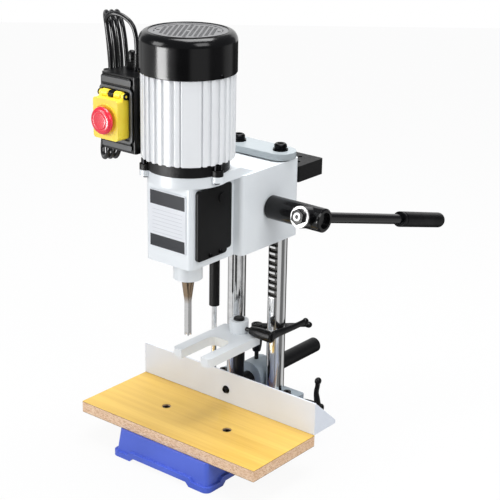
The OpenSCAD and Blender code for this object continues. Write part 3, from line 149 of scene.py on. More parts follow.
hank = [hank_point(i) for i in range(hank_loops*2*(arc_steps + run_steps) + run_steps)]
start = hank[0] + cord_d*(hank[0] - hank[1]).normalized()
end = hank[-1] + cord_d*(hank[-1] - hank[-2]).normalized()
lead = from_mm([(-104, -66, 614), (-104, -66, 627), (-104, -66, 640), (-104, -66.5, 657), (-105, -68, 671),
    (-109, -70, 683), (-118, -73, 692), (-131, -76, 697), (-144, -78, 696), (-154, -77, 690)])
tail = from_mm([(-141.5, -48.5, 499), (-137.5, -47, 490.5), (-130, -44.5, 485), (-120, -41.5, 483),
    (-110, -39, 485.5), (-102, -38, 492), (-98.5, -38, 501.5), (-98, -38, 510), (-98, -38, 519)])
run_on = 1.2
route = lead + [start + (start - hank[0])*run_on, start] + hank + [end, end + (end - hank[-1])*run_on] + tail
route_length = sum((b - a).length for a, b in zip(route, route[1:]))
print("cord route:", len(route), "points,", round(route_length, 3), "m")

# %% A curve along the route
def curve_along(name, points, radius, sides=6):
    """A round curve through points. Blender works out its handles, and its knots hold its thickness."""
    data = bpy.data.curves.new(name, "CURVE")
    data.dimensions, data.bevel_depth, data.bevel_resolution = "3D", 1.0, sides
    data.resolution_u, data.use_fill_caps = 6, True
    spline = data.splines.new("BEZIER")
    spline.bezier_points.add(len(points) - 1)
    for knot, point in zip(spline.bezier_points, points):
        knot.co, knot.radius = point, radius
        knot.handle_left_type = knot.handle_right_type = "AUTO"
    piece = bpy.data.objects.new(name, data)
    bpy.context.collection.objects.link(piece)
    return piece


cord = curve_along("power_cord", route, cord_d/2)
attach(cord, "head")
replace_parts(cord, "mains_cord", "cord_hank", "cord_tail")
print("cord is a curve of", len(cord.data.splines[0].bezier_points), "knots")

# %% [markdown]
# ## Tools for the bench
#
# Every piece is made in the same way as by hand: select one object, go into edit mode, pick faces by their
# place, and use Blender's own operators. A few short helpers keep that readable. Blender's operators act on
# whatever is selected, so each helper starts by selecting exactly one thing.

# %% Selecting and editing
def only(piece):
    """Makes one object the only selected one."""
    bpy.ops.object.select_all(action="DESELECT")
    piece.select_set(True)
    bpy.context.view_layer.objects.active = piece


class editing:
    """Edit mode on one object, left again at the end of the with block."""
    def __init__(self, piece):
        self.piece = piece

    def __enter__(self):
        only(self.piece)
        bpy.ops.object.mode_set(mode="EDIT")
        return self

    def __exit__(self, *problem):
        bpy.ops.object.mode_set(mode="OBJECT")

    def everything(self):
        """Selects the whole mesh."""
        bpy.ops.mesh.select_all(action="SELECT")

    def faces(self, test):
        """Selects the faces whose centre and normal pass a test, in world places, and counts them."""
        bpy.ops.mesh.select_mode(type="FACE")
        bpy.ops.mesh.select_all(action="DESELECT")
        mesh, place = bmesh.from_edit_mesh(self.piece.data), self.piece.matrix_world
        for face in mesh.faces:
            if test(place @ face.calc_center_median(), face.normal):
                face.select_set(True)
        bmesh.update_edit_mesh(self.piece.data)
        return sum(face.select for face in mesh.faces)


def body_of(node):
    """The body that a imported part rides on."""
    return next(name for name, nodes in frame["record"]["behaviour"]["bodies"].items() if node in nodes)


def slot_of(node):
    """The record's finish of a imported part."""
    return next(s["material_slot"] for s in frame["record"]["subparts"] if s["node"] == node)


print("helpers ready: only, editing, body_of, slot_of")

# %% [markdown]
# ## Shader maths in Python
#
# A finish is a small network of nodes. Writing it as arithmetic is shorter than wiring it: `Signal` wraps
# one output socket, and adding or multiplying signals adds Math nodes. `Graph` adds any other node through
# one method, which takes the node's type, its settings and its inputs. `Finish` is the graph of one
# material and starts from the Principled shader.

# %% Signal
class Signal:
    """One output of a node, on which Python's operators work."""
    def __init__(self, graph, socket):
        self.graph, self.socket = graph, socket

    def __add__(self, other):
        return self.graph.maths("ADD", self, other)

    def __radd__(self, other):
        return self.graph.maths("ADD", other, self)

    def __sub__(self, other):
        return self.graph.maths("SUBTRACT", self, other)

    def __rsub__(self, other):
        return self.graph.maths("SUBTRACT", other, self)

    def __mul__(self, other):
        return self.graph.maths("MULTIPLY", self, other)

    def __rmul__(self, other):
        return self.graph.maths("MULTIPLY", other, self)

    def __gt__(self, other):
        return self.graph.maths("GREATER_THAN", self, other)

    def __lt__(self, other):
        return self.graph.maths("LESS_THAN", self, other)

    def clamped(self):
        """The signal, held between 0 and 1."""
        return self.graph.maths("MINIMUM", self.graph.maths("MAXIMUM", self, 0.0), 1.0)


print("Signal ready")

# %% Graph
class Graph:
    """A tree of nodes, to which one method adds every kind of node."""
    def __init__(self, tree):
        self.tree = tree

    def put(self, socket, value):
        """Puts a value or a signal into a socket."""
        if isinstance(value, Signal):
            self.tree.links.new(value.socket, socket)
        else:
            socket.default_value = value

    def node(self, kind, settings=None, inputs=None, output=0):
        """Adds one node: settings first, then the inputs, and gives one output back as a signal."""
        made = self.tree.nodes.new("ShaderNode" + kind)
        for name, value in (settings or {}).items():
            setattr(made, name, value)
        for name, value in (inputs or {}).items():
            self.put(made.inputs[name], value)
        return Signal(self, made.outputs[output])

    def maths(self, operation, *values):
        """Adds a Math node over one or more values or signals."""
        return self.node("Math", {"operation": operation}, dict(enumerate(values)))

    def ramp(self, signal, stops):
        """Colours along a signal. Each stop is a place from 0 to 1 and a colour, in rising order."""
        made = self.tree.nodes.new("ShaderNodeValToRGB")
        elements = made.color_ramp.elements
        while len(elements) < len(stops):
            elements.new(0.5)
        for element, (at, shade) in zip(elements, stops):
            element.position, element.color = at, shade
        self.put(made.inputs["Fac"], signal)
        return Signal(self, made.outputs["Color"])

    def ray(self, kind):
        """1 for one kind of ray and 0 for the others."""
        return self.node("LightPath", output=f"Is {kind} Ray")

    def show(self, signal, target="Material Output"):
        """Makes a signal the surface of the material or the world."""
        self.put(self.tree.nodes[target].inputs["Surface"], signal)


print("Graph ready")

# %% Finish
mix_factor, mix_first, mix_second, mix_result = 0, 6, 7, 2


class Finish(Graph):
    """A material with a Principled shader whose constant values are set at once."""
    def __init__(self, name, color, roughness, **constants):
        self.name = self.slot = name
        self.material = bpy.data.materials.new(name)
        self.material.use_nodes = True
        super().__init__(self.material.node_tree)
        self.shader = self.tree.nodes["Principled BSDF"]
        self.feed("Base Color", (*color, 1))
        self.feed("Roughness", roughness)
        for socket, value in constants.items():
            self.feed(socket.replace("_", " "), value)

    def feed(self, socket, value):
        """Puts a value or a signal into a socket of the shader."""
        self.put(self.shader.inputs[socket], value)

    def place(self, scale=(1, 1, 1)):
        """The place on the object in metres, stretched if asked."""
        at = self.node("TexCoord", output="Object")
        return self.node("Mapping", {}, {"Vector": at, "Scale": scale})

    def axis(self, letter):
        """How far along X, Y or Z a point lies, in metres."""
        return self.node("SeparateXYZ", {}, {"Vector": self.node("TexCoord", output="Object")}, output=letter)

    def noise(self, scale, detail=3.0, roughness=0.5, at=None):
        """Cloudy noise: the larger its scale, the finer it is."""
        inputs = {"Vector": at or self.place(), "Scale": scale, "Detail": detail, "Roughness": roughness}
        return self.node("TexNoise", {}, inputs)

    def between(self, value, low, high):
        """A signal that runs from 0 to 1 while a value runs from low to high."""
        return self.node("MapRange", {}, {"Value": value, "From Min": low, "From Max": high})

    def blend(self, mask, first, second):
        """One colour where the mask is 0, the other where it is 1."""
        shade = lambda color: color if isinstance(color, Signal) else (*color, 1)
        inputs = {mix_factor: mask, mix_first: shade(first), mix_second: shade(second)}
        return self.node("Mix", {"data_type": "RGBA"}, inputs, mix_result)

    def bump(self, height, depth):
        """Raises the surface by a signal, depth metres high."""
        self.feed("Normal", self.node("Bump", {}, {"Height": height, "Distance": depth, "Strength": 1.0}))


finishes = {}


def keep(finish):
    """Stores a finish under its name."""
    finishes[finish.name] = finish
    return finish


print("Finish ready")

# %% [markdown]
# ## Paints
#
# The base is a blue casting under gloss enamel, the head and table fittings are pale grey, the motor is
# silver white, and the covers are black. Sprayed paint is never quite flat: it follows the casting's skin
# in a fine ripple, and its colour drifts a little where it lies thicker. Both come from noise, one for the
# bump and one, much larger, for the colour. Each line below gives a colour, a roughness, and how fine and
# how deep the ripple is.

# %% Painted castings
def paint(name, color, roughness, ripple, depth, coat=0.0, drift=0.06, grain=0.0, **constants):
    """Paint on metal: a drifting colour, a ripple in the skin, and sometimes the grain of a sand casting."""
    drift_scale, gloss_scale, gloss_swing, grain_ratio = 14, 40, 0.12, 5
    finish = keep(Finish(name, color, roughness, Coat_Weight=coat, Coat_Roughness=0.08, **constants))
    darker = tuple(c*(1 - 2*drift) for c in color)
    drifting = finish.between(finish.noise(drift_scale), 0.3, 0.7)
    finish.feed("Base Color", finish.blend(drifting, darker, color))
    height = finish.noise(ripple, 2)
    if grain:
        height = height + grain*finish.noise(ripple*grain_ratio)
    finish.feed("Roughness", finish.noise(gloss_scale)*gloss_swing + (roughness - gloss_swing/2))
    finish.bump(height, depth)
    return finish


paint("blue_paint", (0.085, 0.145, 0.66), 0.30, 260, 0.25*mm, coat=0.1, Specular_IOR_Level=0.25)
paint("pale_paint", (0.74, 0.775, 0.80), 0.38, 320, 0.12*mm, coat=0.12, drift=0.02)
paint("motor_silver", (0.80, 0.815, 0.83), 0.34, 380, 0.08*mm, coat=0.15, drift=0.02)
paint("gloss_black", (0.003, 0.003, 0.0035), 0.19, 300, 0.02*mm, Specular_IOR_Level=0.34)
# The grille and its ring are black paint; their grey is a painted reflection of the bright room.
paint("grille_painted_reflection", (0.135, 0.135, 0.14), 0.34, 300, 0.02*mm).slot = "gloss_black"
paint("matt_black", (0.0045, 0.0045, 0.005), 0.42, 420, 0.22*mm, grain=0.8, Specular_IOR_Level=0.22)
paint("grey_iron", (0.33, 0.385, 0.43), 0.42, 300, 0.15*mm, drift=0.05)
# The tie plate has the pale paint; its darker grey is painted shade.
paint("tie_painted_shade", (0.36, 0.40, 0.42), 0.36, 300, 0.12*mm, coat=0.2, drift=0.03).slot = "pale_paint"
paint("fence_paint", (0.75, 0.79, 0.86), 0.36, 320, 0.10*mm, coat=0.12, drift=0.02).slot = "pale_paint"
print("paints:", ", ".join(finishes))

# %% [markdown]
# ## Metals
#
# Chrome is a bright metal with hardly any roughness. What makes it look real is the faint run of polishing
# marks round the column, a noise that is squeezed along the axis. Ground steel has the same marks and is
# rougher. The chisel is browned by heat towards its upper end.

# %% Bare metals
def metal(name, color, roughness, marks=(60, 60, 2500), depth=0.01*mm, spread=0.1):
    """Bare metal with fine marks that run one way, and duller in patches."""
    patch_scale, dulling = 90, 0.8
    finish = keep(Finish(name, color, roughness, Metallic=1.0))
    streaks = finish.noise(1.0, 4, 0.6, at=finish.place(marks))
    finish.feed("Roughness", streaks*spread + (roughness - spread/2))
    dull = tuple(c*dulling for c in color)
    patches = finish.between(finish.noise(patch_scale, 4), 0.35, 0.75)
    finish.feed("Base Color", finish.blend(patches, color, dull))
    finish.bump(streaks, depth)
    return finish


metal("chromed", (0.88, 0.885, 0.89), 0.09, spread=0.06)
metal("bright_steel", (0.62, 0.62, 0.63), 0.24, spread=0.14)
metal("black_steel", (0.010, 0.010, 0.011), 0.30, spread=0.12)
metal("zinc", (0.56, 0.56, 0.56), 0.46, depth=0.03*mm).slot = "bright_steel"
metal("core_steel", (0.33, 0.33, 0.35), 0.4, marks=(30, 30, 3000), depth=0.05*mm)
metal("bronze", (0.60, 0.40, 0.20), 0.36)

chisel_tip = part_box("hollow_chisel")[0].z
brown_from, brown_to = 52*mm, 66*mm
chisel = metal("chisel_steel", (0.66, 0.66, 0.66), 0.22, spread=0.14)
chisel.slot = slot_of("hollow_chisel")
heated = chisel.between(chisel.axis("Z"), chisel_tip + brown_from, chisel_tip + brown_to)
chisel.feed("Base Color", chisel.blend(heated, (0.62, 0.62, 0.62), (0.34, 0.25, 0.17)))
print("finishes so far:", len(finishes))

# %% [markdown]
# ## The rack
#
# The rack is cut in the front of the right column. In its roots the chrome gives way to something dark and
# dull. A point lies in a root when it is behind the tips of the teeth, so the mask needs only its place.

# %% The rack's dark roots
tip_y, back_y, rack_x, rack_half = 87.0*mm, 100*mm, 42*mm, 9.05*mm
# The second colour is the dark, dull tone given to the roots of the teeth.
polished, root_tone = (0.88, 0.885, 0.89), (0.035, 0.033, 0.03)
racked = metal("racked", polished, 0.12, spread=0.06)
racked.slot = "chromed"
behind = racked.between(racked.axis("Y"), tip_y + 0.5*mm, tip_y + 2.2*mm)*(racked.axis("Y") < back_y)
beside = racked.maths("ABSOLUTE", racked.axis("X") - rack_x)
root = behind*(beside < rack_half)
racked.feed("Base Color", racked.blend(root, polished, root_tone))
racked.feed("Roughness", 0.12 + root*0.4)
racked.feed("Metallic", 1 - root*0.6)
print("finish of the rack ready")

# %% [markdown]
# ## Plastics and rubber
#
# Moulded plastic has a fine, even texture and a soft sheen. The colours of the switch are deep and clean,
# with a slight gloss. The cord's sheath is smoother than the grip, which is grained so that it doesn't
# slip.

# %% Moulded parts
def plastic(name, color, roughness, grain, depth, coat=0.0, **constants):
    """Moulded plastic: an even grain, slightly rubbed in patches."""
    rub_scale, rub_gloss = 45, 0.08
    finish = keep(Finish(name, color, roughness, Coat_Weight=coat, Coat_Roughness=0.1, **constants))
    rubbed = finish.between(finish.noise(rub_scale), 0.45, 0.8)
    paler = tuple(min(1.0, c*1.1 + 0.004) for c in color)
    finish.feed("Base Color", finish.blend(rubbed, color, paler))
    finish.feed("Roughness", roughness - rubbed*rub_gloss)
    finish.bump(finish.noise(grain, 2), depth)
    return finish


plastic("black_plastic", (0.0035, 0.0035, 0.004), 0.34, 900, 0.04*mm, Specular_IOR_Level=0.25)
plastic("grip_plastic", (0.002, 0.002, 0.0025), 0.36, 700, 0.10*mm, Specular_IOR_Level=0.12)
plastic("grey_plastic", (0.055, 0.058, 0.065), 0.4, 900, 0.05*mm)
plastic("yellow_plastic", (0.99, 0.74, 0.05), 0.32, 500, 0.02*mm, coat=0.3)
plastic("red_plastic", (0.80, 0.016, 0.045), 0.3, 500, 0.02*mm, coat=0.3)
plastic("green_plastic", (0.03, 0.35, 0.10), 0.3, 500, 0.02*mm, coat=0.3)
plastic("cord_black", (0.005, 0.005, 0.006), 0.26, 600, 0.02*mm, Specular_IOR_Level=0.4)
cord.data.materials.append(finishes["cord_black"].material)
print("finishes so far:", len(finishes))

# %% [markdown]
# ## The table's board
#
# The table is chipboard with a printed wood grain on both faces and bare, pale edges. One finish covers all
# of it and asks how deep it is below the top or above the bottom: at first it is the print, then a dark
# line where the print meets the edge, and in between pressed chips. The grain runs along the table, so its
# noise is stretched along X.

# %% Printed board
print_depth, line_depth = 0.35*mm, 1.0*mm
table_low, table_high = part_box("table_board")
board = keep(Finish("board", (0.86, 0.58, 0.14), 0.36, Coat_Weight=0.15, Coat_Roughness=0.2))
height = board.axis("Z")
depth_in = board.maths("MINIMUM", table_high.z - height, height - table_low.z)
on_print = depth_in < print_depth
on_line = (depth_in < line_depth) - on_print
streak = board.noise(1.0, 6, 0.62, at=board.place((2.2, 46, 46)))
fine = board.noise(1.0, 3, 0.5, at=board.place((9, 520, 520)))
grain_mask = (board.between(streak, 0.35, 0.68)*0.75 + board.between(fine, 0.4, 0.7)*0.25).clamped()
print_color = board.blend(grain_mask, (0.800, 0.530, 0.105), (0.640, 0.370, 0.050))
print("board from", round(table_low.z, 4), "to", round(table_high.z, 4))

# %% Pressed chips
chip_place = {"Vector": board.place((1, 1, 2.6)), "Scale": 340.0, "Randomness": 1.0}
chips = board.node("TexVoronoi", {"feature": "F1"}, chip_place, output="Color")
chip_tone = board.node("SeparateColor", {}, {"Color": chips})
dark_chip, mid_chip, pale_chip = (0.50, 0.27, 0.14, 1), (0.72, 0.46, 0.28, 1), (0.88, 0.66, 0.46, 1)
chip_shade = chip_tone*0.8 + board.noise(500, 2)*0.25
chip_color = board.ramp(chip_shade, [(0.0, dark_chip), (0.35, mid_chip), (1.0, pale_chip)])
edge_color = board.blend(on_line, chip_color, (0.20, 0.10, 0.04))
board.feed("Base Color", board.blend(on_print, edge_color, print_color))
board.feed("Roughness", 0.75 - on_print*0.37)
board.bump(chip_tone*(1 - on_print) + fine*0.25*on_print, 0.25*mm)
print("chips between the two prints")

# %% [markdown]
# ## The front plate
#
# A film with a dark band above and below and a white field between them, ruled with fine lines. The bands
# and rules are worked out from the height and the distance from the middle, as shares of the plate.

# %% Banded film
plate_low, plate_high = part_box("label_plate")
film = keep(Finish("label_film", (0.80, 0.82, 0.84), 0.3, Coat_Weight=0.1, Coat_Roughness=0.1,
    Specular_IOR_Level=0.2))
share = film.between(film.axis("Z"), plate_low.z, plate_high.z)
side = film.between(film.axis("X"), plate_low.x, plate_high.x)


def window(low, high, edge):
    """1 between two shares of the height and away from both side edges."""
    return (share > low)*(share < high)*(side > edge)*(side < 1 - edge)


top_band, low_band, first_rule, last_rule, rule_rows = 0.745, 0.225, 0.27, 0.72, 15.5
dark = (share > top_band) + (share < low_band)
rows = film.maths("FRACT", (share - first_rule)*rule_rows)
rules = (rows < 0.10)*window(first_rule, last_rule, 0.09)
white = film.blend(film.noise(25), (0.76, 0.78, 0.81), (0.70, 0.72, 0.76))
ruled = film.blend(rules*0.5, white, (0.30, 0.31, 0.34))
film.feed("Base Color", film.blend(dark*window(0.02, 0.98, 0.025), ruled, (0.012, 0.014, 0.020)))
film.feed("Roughness", film.noise(60, 2)*0.1 + 0.27)
film.bump(film.noise(500, 2), 0.02*mm)
print("film on a plate", round(plate_high.z - plate_low.z, 4), "high")

# %% [markdown]
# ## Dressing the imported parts
#
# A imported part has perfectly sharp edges, and no real casting does. A copy of its mesh is joined up, its
# flat faces are cleared of needless edges, and a bevel rounds every sharp edge. The bevel catches the light
# in a thin line, which is what makes a painted casting look solid. The last modifier keeps large flat faces
# flat.

# %% Bevel, smooth and settle
def modified(piece, kind, **settings):
    """Adds a modifier and applies it at once."""
    only(piece)
    modifier = piece.modifiers.new(kind.lower(), kind)
    for name, value in settings.items():
        setattr(modifier, name, value)
    bpy.ops.object.modifier_apply(modifier=modifier.name)


def smoothed(piece, angle):
    """Smooth shading up to an angle, with flat faces kept flat."""
    only(piece)
    bpy.ops.object.shade_smooth_by_angle(angle=radians(angle))
    modified(piece, "WEIGHTED_NORMAL", keep_sharp=True, weight=60)
    return piece


def bevelled(piece, width, segments=2, angle=32):
    """Rounds the sharp edges of a piece and smooths it."""
    modified(piece, "BEVEL", width=width, segments=segments, limit_method="ANGLE",
        angle_limit=radians(angle), use_clamp_overlap=True, miter_outer="MITER_SHARP")
    return smoothed(piece, 40)


def settle(piece, body, finish, *nodes):
    """Gives a new piece its finish and body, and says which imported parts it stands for."""
    piece.data.materials.clear()
    piece.data.materials.append(finishes[finish].material)
    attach(piece, body)
    if nodes:
        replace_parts(piece, *nodes)
    return piece


print("helpers ready: modified, smoothed, bevelled, settle")

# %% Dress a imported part
def dressed(node, width, finish):
    """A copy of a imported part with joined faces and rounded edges, in the part's place."""
    mesh = frame["nodes"][node].data.copy()
    piece = bpy.data.objects.new("dressed_" + node, mesh)
    bpy.context.collection.objects.link(piece)
    with editing(piece) as work:
        work.everything()
        bpy.ops.mesh.remove_doubles(threshold=0.004*mm)
        bpy.ops.mesh.dissolve_limited(angle_limit=radians(0.6))
    bevelled(piece, width)
    return settle(piece, body_of(node), finish, node)


edge_widths = {
    "base_casting": 1.2, "column_block": 0.8, "fence_bracket": 1.0, "tie_plate": 0.9, "strut_foot": 0.5,
    "head_casting": 1.6, "motor_flange": 0.6, "access_covers": 0.9, "switch_bracket": 0.8, "switch_box": 1.2,
    "tool_shelf": 1.0, "holddown_fork": 1.6, "fence_plate": 0.5, "table_board": 0.5, "label_plate": 0.2,
    "flip_cover": 1.6, "feed_hub": 0.9, "tie_plate_bolts": 0.5, "fence_screw": 0.5, "head_screws": 0.3,
    "holddown_post": 0.4, "fence_bar": 0.8, "strut_cylinder": 0.8, "cord_tie": 0.4, "plug": 0.8,
    "hollow_chisel": 0.25, "switch_plate": 0.4}
own_finish = {"hollow_chisel": "chisel_steel", "tie_plate": "tie_painted_shade", "switch_plate": "black_plastic",
    "fence_plate": "fence_paint"}
for node, width in edge_widths.items():
    piece = dressed(node, width*mm, own_finish.get(node, slot_of(node)))
    print(piece.name, len(piece.data.polygons), "faces")

# %% [markdown]
# ## Turned parts
#
# Knobs, washers, buttons and covers come off a lathe. Here a lathe is a disc that is pulled along its axis
# ring by ring and resized at every step. It is drawn at the origin, then laid along its real axis and
# applied, so that the finished piece sits at the origin, unturned. Its normals are recalculated, because a
# pulled disc can be inside out.

# %% A lathe
def laid(piece, at=(0, 0, 0), along="Z", turn=0.0):
    """Lays a piece that was drawn along Z along another direction, at a place, and applies that."""
    ways = {"Z": (0, "Z"), "X": (90, "Y"), "-Y": (90, "X")}
    tilt, about = ways.get(along, along)
    piece.matrix_world = (Matrix.Translation(at) @ Matrix.Rotation(radians(tilt), 4, about)
        @ Matrix.Rotation(radians(turn), 4, "Z"))
    only(piece)
    bpy.ops.object.transform_apply(location=True, rotation=True, scale=True)
    return piece


def turned(name, rings, sides, at=(0, 0, 0), along="Z", angle=32):
    """A solid of rings, each a radius and a height in millimetres, in order."""
    bpy.ops.mesh.primitive_circle_add(vertices=sides, radius=rings[0][0]*mm, fill_type="NGON")
    piece = bpy.context.object
    piece.name = name
    with editing(piece) as work:
        work.everything()
        bpy.ops.transform.translate(value=(0, 0, rings[0][1]*mm))
        for (r0, z0), (r1, z1) in zip(rings, rings[1:]):
            bpy.ops.mesh.extrude_region_move(TRANSFORM_OT_translate={"value": (0, 0, (z1 - z0)*mm)})
            bpy.ops.transform.resize(value=(r1/r0, r1/r0, 1), center_override=(0, 0, z1*mm))
        work.everything()
        bpy.ops.mesh.normals_make_consistent(inside=False)
    laid(piece, at, along)
    return smoothed(piece, angle)


def joined(first, *others):
    """Joins pieces into the first one."""
    bpy.ops.object.select_all(action="DESELECT")
    for other in others:
        other.select_set(True)
    first.select_set(True)
    bpy.context.view_layer.objects.active = first
    bpy.ops.object.join()
    return first


def arc(r_from, z_from, r_to, z_to, steps):
    """Rings of a quarter round that starts along the axis and ends across it."""
    return [(r_to + (r_from - r_to)*cos(pi/2*i/steps), z_from + (z_to - z_from)*sin(pi/2*i/steps))
        for i in range(steps + 1)]


print("helpers ready: laid, turned, joined, arc")

# %% [markdown]
# ## The motor
#
# The body is an aluminium casting with soft cooling ribs and four wide pads between them. It starts as a
# smooth cylinder. The faces that belong to a rib or a pad are picked by the direction they face and pulled
# outwards, and a bevel makes them round, so that light runs over them in soft scallops.

# %% Ribbed body
spindle = Vector((0, -68, 0))*mm
body_r, body_h, body_at = 66*mm, 127*mm, spindle + Vector((0, 0, 567.5*mm))
rib_step, rib_half, pad_half, rib_out = 67/6, 2.9, 12.3, 4*mm
ribs = [90*quarter + (i - 2.5)*rib_step for quarter in range(4) for i in range(6)]
pads = [45 + 90*quarter for quarter in range(4)]
on_axis = lambda centre: (centre - spindle).xy.length < 1*mm


def on_rib(normal):
    """True where a face of the smooth cylinder belongs to a rib or to one of the wide pads."""
    turn = atan2(normal.y, normal.x)*180/pi
    off = lambda a: abs((turn - a + 180) % 360 - 180)
    return min(off(a) for a in ribs) < rib_half or min(off(a) for a in pads) < pad_half


bpy.ops.mesh.primitive_cylinder_add(vertices=360, radius=body_r, depth=body_h)
body = bpy.context.object
body.name = "ribbed_body"
laid(body, body_at)
with editing(body) as work:
    print("faces on ribs:", work.faces(lambda centre, normal: abs(normal.z) < 0.1 and on_rib(normal)))
    bpy.ops.mesh.extrude_region_shrink_fatten(TRANSFORM_OT_shrink_fatten={"value": rib_out})
    work.faces(lambda centre, normal: abs(normal.z) > 0.9 and on_axis(centre))
    bpy.ops.mesh.inset(thickness=8*mm)
bevelled(body, 1.9*mm, 4, 40)
settle(body, "head", "motor_silver", "motor_body")
print("ribbed body:", len(body.data.polygons), "faces")

# %% [markdown]
# ## The fan cover
#
# A deep drawn steel cap with a rounded shoulder and a low rim. Inside the rim lies a plain ring, and inside
# that the grille. The grille is a grid of small faces: each one is inset on its own and its middle deleted,
# which leaves rows of small square holes. It lies a little lower than the rim, and the cap goes on down as
# a dark well below it, where the fan turns.

# %% Cap and ring
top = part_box("fan_cover")[1].z/mm
skirt = [(64, 631), (71.4, 631), (72, 631.8), (72, 636)]
shoulder = arc(72, top - 15, 60.5, top - 0.5, 10)
rim = [(59.8, top), (58.9, top), (58.2, top - 0.5), (57.8, top - 2.0)]
well = [(50, top - 2.2), (50, top - 10)]
cap = turned("fan_cap", skirt + shoulder + rim + well, 128, spindle, angle=50)
settle(cap, "head", "gloss_black", "fan_cover")
# The ring is grey as a painted reflection of the bright room on its black paint.
margin = turned("grille_margin", [(57.9, top - 1.4), (50.6, top - 1.3), (50.2, top - 2.1)], 96, spindle)
with editing(margin) as work:
    work.faces(lambda centre, normal: on_axis(centre))
    bpy.ops.mesh.delete(type="FACE")
settle(margin, "head", "grille_painted_reflection")
print("cap up to", round(top, 1), "mm")

# %% Grille
cells, step, grille_r, holes_r, middle_r = 15, 7.4*mm, 52*mm, 44.5*mm, 2*mm
bpy.ops.mesh.primitive_grid_add(x_subdivisions=cells, y_subdivisions=cells, size=1)
grille = bpy.context.object
grille.name = "fan_grille"
grille.scale = (cells*step, cells*step, 1)
bpy.ops.object.transform_apply(location=True, rotation=True, scale=True)
with editing(grille) as work:
    work.faces(lambda centre, normal: centre.length > grille_r)
    bpy.ops.mesh.delete(type="FACE")
    holes = work.faces(lambda centre, normal: middle_r < centre.length < holes_r)
    bpy.ops.mesh.inset(thickness=1.25*mm, use_individual=True)
    bpy.ops.mesh.delete(type="FACE")
modified(grille, "SOLIDIFY", thickness=1.0*mm, offset=1.0)
laid(grille, spindle + Vector((0, 0, (top - 2.9)*mm)), turn=33)
bevelled(grille, 0.15*mm, 1)
settle(grille, "head", "grille_painted_reflection")
print("holes in the grille:", holes)

# %% [markdown]
# ## The switch
#
# The yellow cover hangs on two round knuckles with a black tab between them, and a low ring frames its
# mushroom button. The button is turned: a rounded rim, a shallow groove and a raised disc.

# %% Button, ring and knuckles
flip_x, button_z = -109, 550
hinge = Vector((flip_x, -113, 586))*mm
stem = [(6, -24), (6, -0.2)]
brim = [(19.6, 0), (20.6, 0.8), (21, 2)] + arc(21, 2.2, 13.5, 8.2, 8)
disc = [(12.9, 8.0), (12.3, 8.0), (11.9, 8.6), (11, 9), (0.5, 9)]
button_at = Vector((flip_x, -134.3, button_z))*mm
button = turned("mushroom", stem + brim + disc, 64, button_at, "-Y", angle=24)
settle(button, body_of("mushroom_button"), "red_plastic", "mushroom_button")
collar = [(24, 0), (24, 0.9), (23.6, 1.3), (22.6, 1.3), (22.2, 0.9), (22, 0.2), (7, 0.15)]
ring = turned("button_ring", collar, 64, Vector((flip_x, -130, button_z))*mm, "-Y")
settle(ring, body_of("flip_cover"), "yellow_plastic")
for name, side in (("knuckle_left", -1), ("knuckle_right", 1)):
    barrel = [(5.4, -6.5), (6.2, -5.9), (6.2, 5.9), (5.4, 6.5)]
    knuckle = turned(name, barrel, 40, hinge + Vector((side*13*mm, 0, 0)), "X")
    settle(knuckle, body_of("flip_cover"), "yellow_plastic")
tab = turned("hinge_tab", [(5.2, -5.2), (5.9, -4.8), (5.9, 4.8), (5.2, 5.2)], 32, hinge, "X")
settle(tab, "head", "black_plastic")
print("button, ring and hinge ready")

# %% [markdown]
# ## The frame on the switch plate
#
# A raised frame runs round the buttons, with a narrow band above and one below it. Each starts as one flat
# face with its corners rounded. Insetting that face and deleting its middle makes a frame of it, and
# extruding what is left gives it its height.

# %% Frame and bands
plate_front = max(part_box("switch_plate")[0].y, -106*mm)


def framed(name, low, high, round_by, rim, depth):
    """A raised frame on the switch plate between two corners, or a band where rim is 0."""
    x0, z0, x1, z1 = (v*mm for v in (*low, *high))
    bpy.ops.mesh.primitive_plane_add(size=1, rotation=(radians(90), 0, 0))
    piece = bpy.context.object
    piece.name, piece.scale = name, (x1 - x0, z1 - z0, 1)
    piece.location = ((x0 + x1)/2, plate_front, (z0 + z1)/2)
    bpy.ops.object.transform_apply(location=True, rotation=True, scale=True)
    with editing(piece) as work:
        work.everything()
        bpy.ops.mesh.bevel(offset=round_by*mm, segments=6, affect="VERTICES")
        if rim:
            work.everything()
            bpy.ops.mesh.inset(thickness=rim*mm)
            bpy.ops.mesh.delete(type="FACE")
        work.everything()
        bpy.ops.mesh.extrude_region_move(TRANSFORM_OT_translate={"value": (0, -depth*mm, 0)})
        work.everything()
        bpy.ops.mesh.normals_make_consistent(inside=False)
    bevelled(piece, 0.6*mm)
    return settle(piece, "head", "grey_plastic")


framed("plate_frame", (-142, 512.5), (-76, 596.5), 7, 4.6, 2.4)
framed("plate_band_top", (-139, 600), (-79, 609), 1.5, 0, 0.7)
framed("plate_band_low", (-139, 501.5), (-79, 509.5), 1.5, 0, 0.7)
print("frame and bands stand on the plate at y", round(plate_front, 4))

# %% [markdown]
# ## On top of the switch box
#
# The cord's strain relief is ribbed so that it bends with the cord, and its ridges grow narrower upwards.
# Beside it stands the cap of the overload cut-out: a six-sided nut and a domed button.

# %% Strain relief and cut-out
relief_at, cutout_at = Vector((-104, -66, 614))*mm, Vector((-119, -61, 614))*mm


def ridge(i):
    """One ridge of the strain relief with the groove above it."""
    outer, inner, z = 5.5 - 0.2*i, 4.6 - 0.12*i, 7.4 + 3.6*i
    return [(outer, z), (outer, z + 1.8), (inner, z + 2.1), (inner, z + 3.3)]


